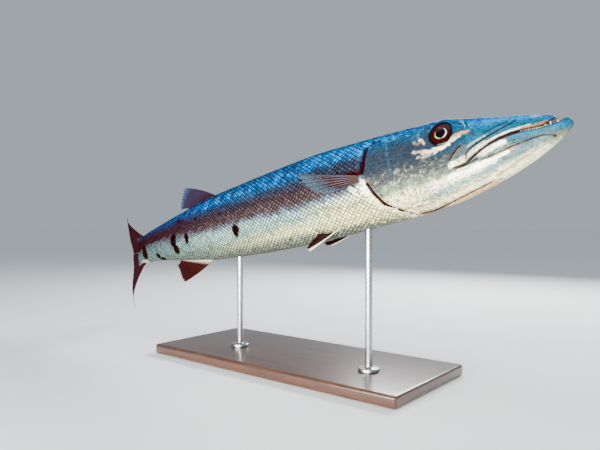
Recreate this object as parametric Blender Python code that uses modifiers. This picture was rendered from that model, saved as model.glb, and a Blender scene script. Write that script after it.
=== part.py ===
"""A life-size display model of a great barracuda, swimming, on a plain stand.

Lengths are metres.  The fish is laid out on its own axis: t runs back from the
tip of the lower jaw, y is to the fish's left and z is up from the axis.  The
function place() turns these into the model's frame, whose origin is the middle
of the stand's underside and whose +X is the way the fish swims.
"""
import math

import bpy
import bmesh
from mathutils import Matrix, Vector

MM = 0.001
GAP = 0.0003

# How the fish hangs over the stand
JAW_TIP_HEIGHT = 0.402
JAW_TIP_AHEAD = 0.488
NOSE_UP = math.radians(11.5)
BANK = math.radians(-2.9)
AXIS_SHIFT = 0.020

# The tail's sideways bend, which starts at BEND_START and grows to its end
BEND_START = 0.733
BEND_END = 1.189
BEND_ANGLE = math.radians(40.4)
BEND_POWER = 2.2

# Stations of the body: t, back, belly and half width, in millimetres
STATIONS = (
    (-1.5, 0.5, -5.0, 1.6),
    (2.0, 4.5, -8.5, 5.0),
    (9.0, 9.5, -14.0, 9.0),
    (20.0, 15.5, -21.5, 12.0),
    (50.0, 25.6, -36.6, 17.5),
    (90.0, 36.2, -51.4, 23.5),
    (130.0, 47.2, -62.2, 29.5),
    (170.0, 56.9, -70.3, 35.5),
    (230.0, 62.8, -76.4, 43.5),
    (311.0, 67.6, -79.0, 49.5),
    (409.0, 72.2, -82.3, 53.5),
    (529.0, 69.6, -80.5, 53.5),
    (620.0, 66.0, -76.0, 51.0),
    (709.0, 61.6, -69.6, 46.5),
    (769.0, 54.0, -61.0, 40.5),
    (829.0, 47.6, -51.5, 33.5),
    (889.0, 40.5, -42.0, 26.5),
    (949.0, 35.0, -36.0, 19.0),
    (985.0, 33.0, -33.5, 11.0),
    (1003.0, 32.0, -32.5, 5.5),
)
ROUNDNESS_BACK = 2.35
ROUNDNESS_BELLY = 2.05
RING_POINTS = 28

# Where the trunk is parted, in millimetres of t
TORSO_MIDDLE = 530.0
TAIL_START = 790.0
TAIL_END = 1003.0

# Side outlines on the head, in millimetres of (t, z)
UPPER_LIP = ((18.0, 8.2), (21.0, 7.4), (30.0, 6.6), (48.0, 5.6), (66.0, 3.6), (86.0, 1.9),
             (108.0, -5.4), (126.0, -15.0), (141.0, -22.6), (161.0, -25.2))
SNOUT_TIP = ((24.0, 19.0), (19.6, 14.2), (17.6, 10.6))
LOWER_LIP = ((7.0, 6.0), (13.0, 3.2), (22.0, 1.2), (34.0, 0.2), (48.0, 0.0), (66.0, 1.0), (86.0, 0.9),
             (108.0, -6.2), (126.0, -15.8), (141.0, -23.4), (161.0, -26.0))
JAW_REAR = ((168.0, -36.0), (172.0, -50.0), (166.0, -64.6))
THROAT_LINE = ((78.0, -46.0), (111.0, -52.6), (147.0, -60.6), (199.0, -69.6), (226.0, -73.4), (246.0, -74.5))
GILL_EDGE = ((262.0, 90.0), (272.0, 56.0), (280.0, 52.5), (288.0, 47.5), (294.0, 32.0), (299.0, 14.0),
             (300.5, -2.0), (295.0, -17.0), (280.0, -45.0), (264.0, -62.5), (246.0, -74.5), (240.0, -95.0))
OPERCLE = ((234.5, 0.0), (236.0, 22.0), (248.0, 41.0), (266.0, 50.0), (279.0, 50.4), (286.2, 45.6),
           (292.4, 31.0), (297.2, 13.6), (298.6, -2.0), (293.2, -17.0), (278.6, -44.0), (262.6, -61.4),
           (248.0, -69.6), (240.0, -65.0), (242.0, -46.0), (240.0, -22.0))
PREOPERCLE = ((211.0, 2.0), (213.0, 18.0), (221.0, 24.0), (228.0, 14.0), (230.0, -4.0), (235.0, -24.0),
              (236.0, -46.0), (229.0, -61.0), (208.0, -62.5), (184.0, -57.0), (183.0, -46.0), (201.0, -39.0),
              (210.0, -22.0))
MAXILLA = ((40.0, 20.0), (60.0, 23.0), (75.0, 18.2), (95.0, 12.1), (117.0, 3.4), (135.0, -8.6),
           (140.0, -17.0), (141.0, -20.6), (126.0, -13.0), (108.0, -3.4), (86.0, 4.0), (66.0, 6.4), (46.0, 9.0))
JAW_GROOVE = ((24.0, -13.0), (49.0, -11.5), (79.0, -15.0), (100.0, -19.2), (119.0, -22.4), (141.0, -29.0),
              (141.0, -31.0), (119.0, -24.4), (100.0, -21.2), (79.0, -17.0), (49.0, -13.5), (24.0, -15.2))
PLATE_DEPTH = 3.2
PLATE_RISE = 1.6

# Eyes and nostrils, in millimetres
EYE_T, EYE_Z, EYE_Y = 170.0, 33.5, 30.0
EYE_RADIUS = 20.0
EYE_HALF_DEPTH = 7.0
EYE_LIFT = math.radians(17.0)
EYE_TURN = math.radians(6.0)
NOSTRIL_T, NOSTRIL_Z, NOSTRIL_RADIUS = 135.0, 37.0, 2.2

# The stand
BASE_LENGTH, BASE_WIDTH, BASE_HEIGHT = 0.56, 0.24, 0.020
BASE_ROUNDING = 0.005
ROD_RADIUS = 0.006
ROD_FOOT_RADIUS = 0.018
ROD_FOOT_HEIGHT = 0.006
ROD_PLACES = {"stand_rod_front": 335.0, "stand_rod_rear": 645.0}

COLLECTION_NAME = "great_barracuda"


def start_clean():
    for item in list(bpy.data.objects):
        bpy.data.objects.remove(item)
    for name in (COLLECTION_NAME, "cutters"):
        group = bpy.data.collections.new(name)
        bpy.context.scene.collection.children.link(group)
    bpy.data.collections["cutters"].hide_render = True


def material(name, colour, roughness, metallic=0.0):
    made = bpy.data.materials.get(name) or bpy.data.materials.new(name)
    made.use_nodes = True
    shader = made.node_tree.nodes["Principled BSDF"]
    shader.inputs["Base Color"].default_value = (*colour, 1.0)
    shader.inputs["Roughness"].default_value = roughness
    shader.inputs["Metallic"].default_value = metallic
    return made


def column(t, index):
    """One value of the stations at t, on a smooth curve through them."""
    last = len(STATIONS) - 1
    k = 0
    while k < last - 1 and t > STATIONS[k + 1][0]:
        k += 1
    t0, t1 = STATIONS[k][0], STATIONS[k + 1][0]
    v0, v1 = STATIONS[k][index], STATIONS[k + 1][index]
    before = STATIONS[max(k - 1, 0)]
    after = STATIONS[min(k + 2, last)]
    slope0 = (v1 - before[index]) / (t1 - before[0])
    slope1 = (after[index] - v0) / (after[0] - t0)
    h = min(max((t - t0) / (t1 - t0), 0.0), 1.0)
    span = t1 - t0
    return ((1 + 2 * h) * (1 - h) ** 2 * v0 + h * (1 - h) ** 2 * span * slope0
            + h * h * (3 - 2 * h) * v1 + h * h * (h - 1) * span * slope1)


def axis_point(t):
    """Point and heading of the fish's axis at t metres behind the jaw tip."""
    x, y, heading = -min(t, BEND_START), 0.0, 0.0
    steps = 24
    if t > BEND_START:
        step = (t - BEND_START) / steps
        for k in range(steps):
            part = (step * (k + 0.5)) / (BEND_END - BEND_START)
            heading = BEND_ANGLE * part ** BEND_POWER
            x -= math.cos(heading) * step
            y += math.sin(heading) * step
        heading = BEND_ANGLE * ((t - BEND_START) / (BEND_END - BEND_START)) ** BEND_POWER
    return x, y, heading


TILT = Matrix.Rotation(-NOSE_UP, 3, "Y") @ Matrix.Rotation(BANK, 3, "X")


def place(t, y, z):
    """The model's point for fish coordinates in millimetres."""
    x0, y0, heading = axis_point(t * MM)
    local = Vector((x0 + math.sin(heading) * y * MM, y0 + math.cos(heading) * y * MM, z * MM))
    return TILT @ local + Vector((JAW_TIP_AHEAD, -AXIS_SHIFT, JAW_TIP_HEIGHT))


def rise_of_plates(t):
    """How far the gill covers and jaw plates stand out, in millimetres."""
    return PLATE_RISE * min(max((t - 20.0) / 60.0, 0.0), 1.0)


def side_at(t, z, swell=0.0):
    """Half width of the body at height z, in millimetres."""
    top, bottom = column(t, 1) + swell, column(t, 2) - swell
    half = column(t, 3) + swell
    middle = (top + bottom) / 2
    power = ROUNDNESS_BACK if z > middle else ROUNDNESS_BELLY
    reach = min(abs(z - middle) / ((top - bottom) / 2), 1.0)
    return half * (1 - reach ** power) ** (1 / power)


def ring(t, swell):
    top, bottom = column(t, 1) + swell, column(t, 2) - swell
    half = column(t, 3) + swell
    middle, tall = (top + bottom) / 2, (top - bottom) / 2
    points = []
    for k in range(RING_POINTS):
        angle = 2 * math.pi * k / RING_POINTS
        c, s = math.cos(angle), math.sin(angle)
        power = ROUNDNESS_BACK if s > 0 else ROUNDNESS_BELLY
        y = half * math.copysign(abs(c) ** (2 / power), c)
        z = middle + tall * math.copysign(abs(s) ** (2 / power), s)
        points.append(place(t, y, z))
    return points


def keep(name, mesh, look=None, group=COLLECTION_NAME):
    made = bpy.data.objects.new(name, mesh)
    bpy.data.collections[group].objects.link(made)
    if look is not None:
        mesh.materials.clear()
        mesh.materials.append(look)
    if group == "cutters":
        made.hide_render = True
        made.display_type = "WIRE"
    return made


def loft(name, stops, swell=lambda t: 0.0, look=None, group="cutters"):
    """A closed body through the rings at the given stops."""
    shape = bmesh.new()
    rows = [[shape.verts.new(p) for p in ring(t, swell(t))] for t in stops]
    for row, following in zip(rows, rows[1:]):
        for k in range(RING_POINTS):
            n = (k + 1) % RING_POINTS
            shape.faces.new((row[k], following[k], following[n]))
            shape.faces.new((row[k], following[n], row[n]))
    shape.faces.new(rows[0])
    shape.faces.new(list(reversed(rows[-1])))
    bmesh.ops.recalc_face_normals(shape, faces=shape.faces)
    mesh = bpy.data.meshes.new(name)
    shape.to_mesh(mesh)
    shape.free()
    return keep(name, mesh, look, group)


def stops_between(start, end, spacing):
    count = max(int(math.ceil((end - start) / spacing)), 1)
    return [start + (end - start) * k / count for k in range(count + 1)]


HEAD_STOPS = ([-1.5, 0.0, 2.0, 5.0, 9.0, 14.0, 20.0, 28.0] + stops_between(38.0, 320.0, 11.5))


def curved(outline, parts=3):
    """A smooth line through an outline's points, ends kept."""
    points = [Vector(p) for p in outline]
    result = []
    for k in range(len(points) - 1):
        a, b = points[k], points[k + 1]
        before = points[k - 1] if k else a + (a - b)
        after = points[k + 2] if k + 2 < len(points) else b + (b - a)
        for n in range(parts):
            h = n / parts
            result.append(tuple(((-before + 3 * a - 3 * b + after) * h ** 3
                                 + (2 * before - 5 * a + 4 * b - after) * h ** 2
                                 + (b - before) * h + 2 * a) / 2))
    result.append(tuple(points[-1]))
    return result


def looped(outline, parts=2):
    """A smooth closed outline through its points."""
    points = list(outline)
    wrapped = [points[-1]] + points + points[:2]
    return curved(wrapped, parts)[parts:-1 - parts]


def prism(name, outline, inner, outer, grow=0.0):
    """A side outline carried across the fish, from y = inner to y = outer."""
    shape = bmesh.new()
    points = grown(outline, grow)
    near = [shape.verts.new(place(t, inner, z)) for t, z in points]
    far = [shape.verts.new(place(t, outer, z)) for t, z in points]
    shape.faces.new(near)
    shape.faces.new(list(reversed(far)))
    for k in range(len(points)):
        n = (k + 1) % len(points)
        shape.faces.new((near[k], far[k], far[n], near[n]))
    bmesh.ops.recalc_face_normals(shape, faces=shape.faces)
    mesh = bpy.data.meshes.new(name)
    shape.to_mesh(mesh)
    shape.free()
    return keep(name, mesh, group="cutters")


def grown(outline, distance):
    """The outline with each side moved out by the distance, in millimetres."""
    if distance == 0.0:
        return list(outline)
    area = sum(a[0] * b[1] - b[0] * a[1] for a, b in zip(outline, outline[1:] + outline[:1]))
    side = 1.0 if area > 0 else -1.0
    result = []
    for k, point in enumerate(outline):
        before = Vector(point) - Vector(outline[k - 1])
        after = Vector(outline[(k + 1) % len(outline)]) - Vector(point)
        out = Vector((before.y, -before.x)).normalized() + Vector((after.y, -after.x)).normalized()
        out.normalize()
        square = max(out.dot(Vector((before.y, -before.x)).normalized()), 0.35)
        result.append(tuple(Vector(point) + out * side * distance / square))
    return result


def cut(target, tool, operation="DIFFERENCE", solver="EXACT"):
    """Applies one Boolean with a tool object, which stays a cutter."""
    change = target.modifiers.new("cut", "BOOLEAN")
    change.operation = operation
    change.object = tool
    change.solver = solver
    settle(target)


def settle(target):
    """Applies an object's modifiers and keeps its largest closed surface."""
    bpy.context.view_layer.update()
    seen = target.evaluated_get(bpy.context.evaluated_depsgraph_get())
    mesh = bpy.data.meshes.new_from_object(seen)
    target.modifiers.clear()
    target.vertex_groups.clear()
    old = target.data
    target.data = mesh
    bpy.data.meshes.remove(old)
    keep_largest(target)


def keep_largest(target):
    shape = bmesh.new()
    shape.from_mesh(target.data)
    bmesh.ops.remove_doubles(shape, verts=shape.verts, dist=1e-6)
    unseen = set(shape.verts)
    islands = []
    while unseen:
        front = [unseen.pop()]
        island = set(front)
        while front:
            for edge in front.pop().link_edges:
                for vert in edge.verts:
                    if vert in unseen:
                        unseen.discard(vert)
                        island.add(vert)
                        front.append(vert)
        islands.append(island)
    islands.sort(key=len)
    for island in islands[:-1]:
        bmesh.ops.delete(shape, geom=list(island), context="VERTS")
    shape.to_mesh(target.data)
    shape.free()


def fuse(target, pieces):
    """Joins small closed pieces to a node and removes them."""
    group = bpy.data.collections.new("joined")
    for piece in pieces:
        group.objects.link(piece)
    change = target.modifiers.new("join", "BOOLEAN")
    change.operation = "UNION"
    change.operand_type = "COLLECTION"
    change.collection = group
    change.solver = "MANIFOLD"
    settle(target)
    for piece in pieces:
        bpy.data.objects.remove(piece)
    bpy.data.collections.remove(group)


def smooth(target, angle=30.0):
    target.data.shade_smooth()
    target.data.set_sharp_from_angle(angle=math.radians(angle))


SKIN = dict(colour=(0.62, 0.65, 0.66), roughness=0.34)
HEAD_SKIN = dict(colour=(0.50, 0.57, 0.62), roughness=0.30)
FIN_SKIN = dict(colour=(0.20, 0.11, 0.10), roughness=0.42)


HALF_GAP = GAP / MM / 2
FRONT_STOPS = ([228.0] + stops_between(240.0, 320.0, 12.0)[:-1]
               + stops_between(320.0, TORSO_MIDDLE - HALF_GAP, 24.0))
REAR_STOPS = stops_between(TORSO_MIDDLE + HALF_GAP, TAIL_START - HALF_GAP, 22.0)
STEM_STOPS = stops_between(TAIL_START + HALF_GAP, TAIL_END, 14.5)


def plate(name, outline, side, look, shrunk, raised):
    """A bony plate that lies on the head and stands a little proud of it."""
    made = loft(name, HEAD_STOPS, raised, look, COLLECTION_NAME)
    cut(made, prism(name + "_outline", outline, side * 2.0, side * 80.0), "INTERSECT")
    cut(made, shrunk)
    smooth(made)
    return made


def pocket(target, outline, side, deep):
    """The recess under a plate, a gap wider all round."""
    tool = loft("recess", HEAD_STOPS, lambda t: 6.0)
    cut(tool, prism("recess_outline", outline, side * 1.7, side * 90.0, GAP / MM), "INTERSECT")
    cut(tool, deep)
    cut(target, tool)


def tooth(t, z, y, length, width, lean):
    """One tooth: a six-sided cone, its root sunk in the jaw."""
    shape = bmesh.new()
    bmesh.ops.create_cone(shape, cap_ends=True, segments=6, radius1=width / 2 * MM, radius2=0.0,
                          depth=abs(length) * MM)
    direction = TILT @ Vector((lean, 0.0, math.copysign(1.0, length)))
    turn = direction.to_track_quat("Z", "Y").to_matrix().to_4x4()
    middle = place(t, y, z) + direction.normalized() * (abs(length) / 2) * MM
    bmesh.ops.transform(shape, matrix=Matrix.Translation(middle) @ turn, verts=shape.verts)
    mesh = bpy.data.meshes.new("tooth")
    shape.to_mesh(mesh)
    shape.free()
    return keep("tooth", mesh, group="cutters")


def line_at(outline, t):
    """Height of an outline's line at t."""
    for (t0, z0), (t1, z1) in zip(outline, outline[1:]):
        if t0 <= t <= t1:
            return z0 + (z1 - z0) * (t - t0) / (t1 - t0)
    return outline[-1][1]


ROOT_DEPTH = 2.0
UPPER_TEETH = ((23.5, 5.6, 2.6), (30.0, 4.6, 2.3), (36.0, 2.8, 1.8), (41.0, 3.4, 2.0), (46.0, 2.6, 1.8),
               (51.0, 3.0, 1.9), (56.0, 2.3, 1.6))
LOWER_TEETH = ((14.5, 4.2, 2.2), (27.0, 2.2, 1.6), (33.0, 2.4, 1.7), (38.6, 2.6, 1.7), (43.6, 2.4, 1.6),
               (48.6, 2.2, 1.6), (53.6, 1.8, 1.4), (58.6, 1.5, 1.3))


def teeth_row(rows, lip, up):
    made = []
    for side in (-1, 1):
        for t, height, width in rows:
            z = line_at(lip, t)
            y = side * (side_at(t, z) - 2.6)
            root = z - ROOT_DEPTH if up else z + ROOT_DEPTH
            length = height + ROOT_DEPTH
            made.append(tooth(t, root, y, length if up else -length, width, -0.12))
    return made


def eye_shape(name, grow, group):
    """A flattened ball on the side of the head; grow is in millimetres."""
    side = -1 if name.endswith("right") else 1
    shape = bmesh.new()
    bmesh.ops.create_uvsphere(shape, u_segments=18, v_segments=12, radius=1.0)
    size = Matrix.Diagonal(((EYE_RADIUS + grow) * MM, (EYE_RADIUS + grow) * MM,
                            (EYE_HALF_DEPTH + grow) * MM, 1.0))
    facing = TILT @ Vector((math.sin(EYE_TURN), side * math.cos(EYE_TURN) * math.cos(EYE_LIFT),
                            math.sin(EYE_LIFT)))
    turn = facing.to_track_quat("Z", "Y").to_matrix().to_4x4()
    spot = Matrix.Translation(place(EYE_T, side * EYE_Y, EYE_Z))
    bmesh.ops.transform(shape, matrix=spot @ turn @ size, verts=shape.verts)
    mesh = bpy.data.meshes.new(name)
    shape.to_mesh(mesh)
    shape.free()
    return keep(name, mesh, group=group)


def head_parts(deep, shrunk):
    """Skull with the upper jaw, lower jaw, throat, and the bony plates."""
    skin = material("head_skin", **HEAD_SKIN)
    bone = material("plate_skin", (0.58, 0.62, 0.66), 0.28)
    whole = curved(GILL_EDGE) + [(200.0, -110.0), (-20.0, -110.0), (-20.0, 110.0), (200.0, 110.0)]
    upper_lip, lower_lip = curved(UPPER_LIP, 2), curved(LOWER_LIP, 2)
    throat_line = curved(THROAT_LINE, 2)
    jaw_outline = (lower_lip + curved(JAW_REAR) + list(reversed(throat_line[:5]))
                   + [(70.0, -90.0), (-20.0, -90.0), (-20.0, 12.0)])
    mouth_outline = ([(-20.0, 40.0)] + curved(SNOUT_TIP) + upper_lip
                     + list(reversed(lower_lip)) + [(-20.0, 12.0)])
    throat_outline = throat_line + [(244.0, -95.0), (70.0, -95.0), (72.0, -50.0)]

    head = loft("head", HEAD_STOPS, lambda t: 0.0, skin, COLLECTION_NAME)
    cut(head, prism("head_outline", whole, -90.0, 90.0), "INTERSECT")
    cut(head, prism("jaw_space", jaw_outline, -90.0, 90.0, GAP / MM))
    cut(head, prism("mouth_space", mouth_outline, -90.0, 90.0))
    cut(head, prism("throat_space", throat_outline, -90.0, 90.0, GAP / MM), solver="MANIFOLD")

    jaw = loft("lower_jaw", HEAD_STOPS, lambda t: 0.0, skin, COLLECTION_NAME)
    cut(jaw, prism("jaw_outline", jaw_outline, -90.0, 90.0), "INTERSECT")
    throat = loft("throat", HEAD_STOPS, lambda t: 0.0, skin, COLLECTION_NAME)
    cut(throat, prism("throat_outline", throat_outline, -90.0, 90.0), "INTERSECT")
    cut(throat, prism("throat_front", jaw_outline, -90.0, 90.0, GAP / MM))
    cut(throat, prism("throat_rear", whole, -90.0, 90.0), "INTERSECT")

    for side, name in ((-1, "right"), (1, "left")):
        for label, outline in (("gill_cover_", OPERCLE), ("cheek_plate_", PREOPERCLE), ("maxilla_", MAXILLA)):
            edge = looped(outline)
            plate(label + name, edge, side, bone, shrunk, rise_of_plates)
            pocket(head, edge, side, deep)
        groove = loft("groove", HEAD_STOPS, lambda t: 6.0)
        cut(groove, prism("groove_outline", list(JAW_GROOVE), side * 2.0, side * 90.0), "INTERSECT")
        cut(groove, loft("groove_bed", HEAD_STOPS[2:], lambda t: -1.3))
        cut(jaw, groove)
        socket = eye_shape("socket_" + name, GAP / MM, "cutters")
        cut(head, socket)
        nostril = ball("nostril", NOSTRIL_T, side * side_at(NOSTRIL_T, NOSTRIL_Z), NOSTRIL_Z, NOSTRIL_RADIUS)
        cut(head, nostril)
        eye = eye_shape("eye_" + name, 0.0, COLLECTION_NAME)
        eye.data.materials.append(material("eye", (0.05, 0.02, 0.015), 0.06))
        smooth(eye)

    fuse(head, teeth_row(UPPER_TEETH, UPPER_LIP, False))
    fuse(jaw, teeth_row(LOWER_TEETH, LOWER_LIP, True))
    for part in (head, jaw, throat):
        smooth(part)


def ball(name, t, y, z, radius):
    shape = bmesh.new()
    bmesh.ops.create_uvsphere(shape, u_segments=12, v_segments=8, radius=radius * MM)
    bmesh.ops.translate(shape, verts=shape.verts, vec=place(t, y, z))
    mesh = bpy.data.meshes.new(name)
    shape.to_mesh(mesh)
    shape.free()
    return keep(name, mesh, group="cutters")


def body_parts():
    """The trunk in two lengths and the tail stem, parted by thin cuts."""
    skin = material("body_skin", **SKIN)
    front = loft("torso_front", FRONT_STOPS, lambda t: 0.0, skin, COLLECTION_NAME)
    whole = curved(GILL_EDGE) + [(150.0, -120.0), (150.0, 120.0)]
    cut(front, prism("gill_space", whole, -90.0, 90.0, GAP / MM))
    rear = loft("torso_rear", REAR_STOPS, lambda t: 0.0, skin, COLLECTION_NAME)
    stem = loft("tail_stem", STEM_STOPS, lambda t: 0.0, skin, COLLECTION_NAME)
    for part in (front, rear, stem):
        smooth(part)


def curve_point(ends, bow, amount):
    """A point on a ray that runs between two ends and bows aside at its middle."""
    a, b = Vector(ends[0]), Vector(ends[1])
    run = b - a
    return a + run * amount + Vector(bow) * (4 * amount * (1 - amount))


def fin(name, rays, bow, thick, thin, steps, look, body, web=0.93, root_thick=None):
    """A fin: rays as ridges on a membrane, trimmed where it meets the body.

    rays is a list of (root, tip) in fish coordinates; between each two rays
    the membrane is thinner and ends a little short, which notches the edge.
    """
    columns = []
    for k, (root, tip) in enumerate(rays):
        columns.append((root, tip, 1.0, 1.0))
        if k < len(rays) - 1:
            root2, tip2 = rays[k + 1]
            middle_root = (Vector(root) + Vector(root2)) / 2
            middle_tip = (Vector(tip) + Vector(tip2)) / 2
            columns.append((middle_root, middle_tip, web, 0.0))
    shape = bmesh.new()
    layer = shape.verts.layers.deform.verify()
    grid = []
    for root, tip, reach, ridge in columns:
        line = []
        for k in range(steps + 1):
            amount = k / steps * reach
            vert = shape.verts.new(place(*curve_point((root, tip), bow, amount)))
            full = thick if ridge else thin
            base = root_thick if root_thick is not None else full
            width = base + (full * (1.0 - 0.62 * amount) - base) * min(amount * 4.0, 1.0)
            vert[layer][0] = width / max(thick, root_thick or 0.0)
            line.append(vert)
        grid.append(line)
    for a, b in zip(grid, grid[1:]):
        for k in range(steps):
            shape.faces.new((a[k], b[k], b[k + 1]))
            shape.faces.new((a[k], b[k + 1], a[k + 1]))
    mesh = bpy.data.meshes.new(name)
    shape.to_mesh(mesh)
    shape.free()
    made = keep(name, mesh, look)
    made.vertex_groups.new(name="thickness")
    solid = made.modifiers.new("solid", "SOLIDIFY")
    solid.thickness = max(thick, root_thick or 0.0) * MM
    solid.offset = 0.0
    solid.vertex_group = "thickness"
    settle(made)
    cut(made, body)
    smooth(made, 50.0)
    return made


def spread(first, last, count, ease=1.0):
    """Values from first to last, closer together near first when ease > 1."""
    return [first + (last - first) * (k / (count - 1)) ** ease for k in range(count)]


def fins(body):
    look = material("fin_skin", **FIN_SKIN)
    pale = material("paired_fin_skin", (0.42, 0.42, 0.42), 0.4)

    # Second dorsal fin, on the back over the start of the tail
    count = 10
    roots = spread(686.0, 774.0, count)
    tip_t = (797.0, 801.0, 804.5, 807.5, 810.0, 812.5, 814.5, 816.5, 818.5, 820.0)
    tip_z = (107.0, 104.5, 100.0, 95.0, 89.5, 84.0, 78.5, 73.0, 67.0, 61.0)
    rays = [((t, 0, column(t, 1) - 5.0), (a, 0, b)) for t, a, b in zip(roots, tip_t, tip_z)]
    fin("dorsal_fin_second", rays, (-3.0, 0.0, 4.0), 1.7, 0.8, 7, look, body, web=0.95)

    # Anal fin, under it and a little further back
    roots = spread(718.0, 832.0, count)
    tip_t = (830.0, 833.0, 835.5, 837.5, 839.0, 840.5, 842.0, 843.5, 845.0, 847.0)
    tip_z = (-102.0, -99.0, -94.5, -90.0, -85.0, -80.0, -75.0, -70.0, -65.0, -59.5)
    rays = [((t, 0, column(t, 2) + 5.0), (a, 0, b)) for t, a, b in zip(roots, tip_t, tip_z)]
    fin("anal_fin", rays, (-2.0, 0.0, -4.0), 1.7, 0.8, 7, look, body, web=0.95)

    # First dorsal fin, five spines folded back into their groove
    rays = []
    for k, t in enumerate(spread(436.0, 528.0, 5)):
        rays.append(((t, 0, column(t, 1) - 3.0), (t + 66.0, 0, column(t + 66.0, 1) + 5.0 - 0.6 * k)))
    fin("dorsal_fin_first", rays, (-3.0, 0.0, 1.6), 2.4, 1.2, 6, look, body, web=0.92)

    # Tail fin, one node for each lobe; the rays fan from the end of the stem
    margin_t = (1078.0, 1080.0, 1084.0, 1092.0, 1105.0, 1121.0, 1139.0, 1158.0, 1177.0, 1193.0)
    margin_z = (0.4, 12.0, 23.0, 35.0, 48.5, 62.5, 77.0, 92.0, 108.5, 126.0)
    for name, up in (("caudal_fin_upper", 1.0), ("caudal_fin_lower", -1.0)):
        rays = []
        for k, (t, z) in enumerate(zip(margin_t, margin_z)):
            share = k / (len(margin_t) - 1)
            reach = 1.0 if up > 0 else 1.03
            root = (994.0 - 4.0 * share, 0, up * (0.4 + 30.0 * share))
            rays.append((root, (t, 0, up * z * reach)))
        fin_with_bow(name, rays, up, look, body)

    # Pectoral fins, swept back along the flank and standing a little off it
    for name, side in (("pectoral_fin_right", -1.0), ("pectoral_fin_left", 1.0)):
        tip_t = (413.0, 411.5, 406.5, 400.0, 392.0, 382.0, 369.0, 355.0, 340.0)
        tip_z = (28.0, 21.0, 12.5, 4.0, -4.0, -11.5, -16.0, -17.5, -16.5)
        rays = []
        for k, (t, z) in enumerate(zip(tip_t, tip_z)):
            share = k / (len(tip_t) - 1)
            root_t, root_z = 304.0 - 1.0 * share, -0.5 - 9.0 * share
            root = (root_t, side * (side_at(root_t, root_z) - 3.0), root_z)
            rays.append((root, (t, side * (side_at(t, z) + 4.0 + 0.16 * (t - root_t)), z)))
        fin(name, rays, (0.0, side * 3.0, 0.0), 2.0, 0.7, 6, pale, body, web=0.97, root_thick=3.0)

    # Pelvic fins: a short spine and five rays under the belly; the right one
    # is let down and spread, and the left one is held up closer to the belly
    right_tips = ((435.5, 38.0, -100.0), (441.5, 39.0, -97.5), (440.0, 40.0, -93.5),
                  (434.5, 41.0, -89.0), (424.0, 41.0, -82.0), (412.5, 40.0, -74.0))
    left_tips = ((442.0, 38.0, -87.0), (450.0, 38.0, -86.5), (455.0, 36.0, -84.5),
                 (456.5, 33.0, -81.0), (451.0, 28.5, -79.5), (440.0, 24.0, -80.0))
    for name, side, tips in (("pelvic_fin_right", -1.0, right_tips), ("pelvic_fin_left", 1.0, left_tips)):
        rays = []
        for k, (t, y, z) in enumerate(tips):
            share = k / (len(tips) - 1)
            root_t, root_y = 366.0 + 9.0 * share, 27.0 - 9.0 * share
            root_z = belly_at(root_t, root_y) + 3.5
            rays.append(((root_t, side * root_y, root_z), (t, side * y, z)))
        fin(name, rays, (0.0, side * 2.0, -2.0), 1.6, 0.8, 6, pale, body, web=0.96, root_thick=2.6)


def belly_at(t, y):
    """Height of the belly's surface at y from the middle, in millimetres."""
    top, bottom = column(t, 1), column(t, 2)
    middle, tall = (top + bottom) / 2, (top - bottom) / 2
    reach = min(y / column(t, 3), 1.0)
    return middle - tall * (1 - reach ** ROUNDNESS_BELLY) ** (1 / ROUNDNESS_BELLY)


LOBE_ROOT = 10.0
LOBE_TAPER = 46.0


def fin_with_bow(name, rays, up, look, body):
    """A tail lobe, whose outer rays bow outward more than the inner ones."""
    bows = []
    for k in range(len(rays)):
        share = k / (len(rays) - 1)
        bows.append((6.0 * share, 0.0, up * 5.0 * share ** 1.5))
    lobe(name, rays, bows, look, body)


def lobe(name, rays, bows, look, body):
    """Builds a tail lobe ray by ray, thick at the root and the leading edge."""
    steps = 8
    shape = bmesh.new()
    layer = shape.verts.layers.deform.verify()
    columns = []
    for k, (root, tip) in enumerate(rays):
        lead = 1.0 + 1.1 * (k / (len(rays) - 1)) ** 4
        columns.append((root, tip, bows[k], 1.0, 1.7 * lead))
        if k < len(rays) - 1:
            mid = [(Vector(a) + Vector(b)) / 2 for a, b in ((root, rays[k + 1][0]), (tip, rays[k + 1][1]),
                                                            (bows[k], bows[k + 1]))]
            columns.append((mid[0], mid[1], mid[2], 0.965, 0.9))
    grid = []
    for root, tip, bow, reach, width in columns:
        line = []
        for k in range(steps + 1):
            amount = k / steps * reach
            vert = shape.verts.new(place(*curve_point((root, tip), bow, amount)))
            here = max(width * (1.0 - 0.6 * amount), 0.55)
            vert[layer][0] = max(here, LOBE_ROOT - LOBE_TAPER * amount) / LOBE_ROOT
            line.append(vert)
        grid.append(line)
    for a, b in zip(grid, grid[1:]):
        for k in range(steps):
            shape.faces.new((a[k], b[k], b[k + 1]))
            shape.faces.new((a[k], b[k + 1], a[k + 1]))
    mesh = bpy.data.meshes.new(name)
    shape.to_mesh(mesh)
    shape.free()
    made = keep(name, mesh, look)
    made.vertex_groups.new(name="thickness")
    solid = made.modifiers.new("solid", "SOLIDIFY")
    solid.thickness = LOBE_ROOT * MM
    solid.offset = 0.0
    solid.vertex_group = "thickness"
    settle(made)
    cut(made, body)
    smooth(made, 50.0)


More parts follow.
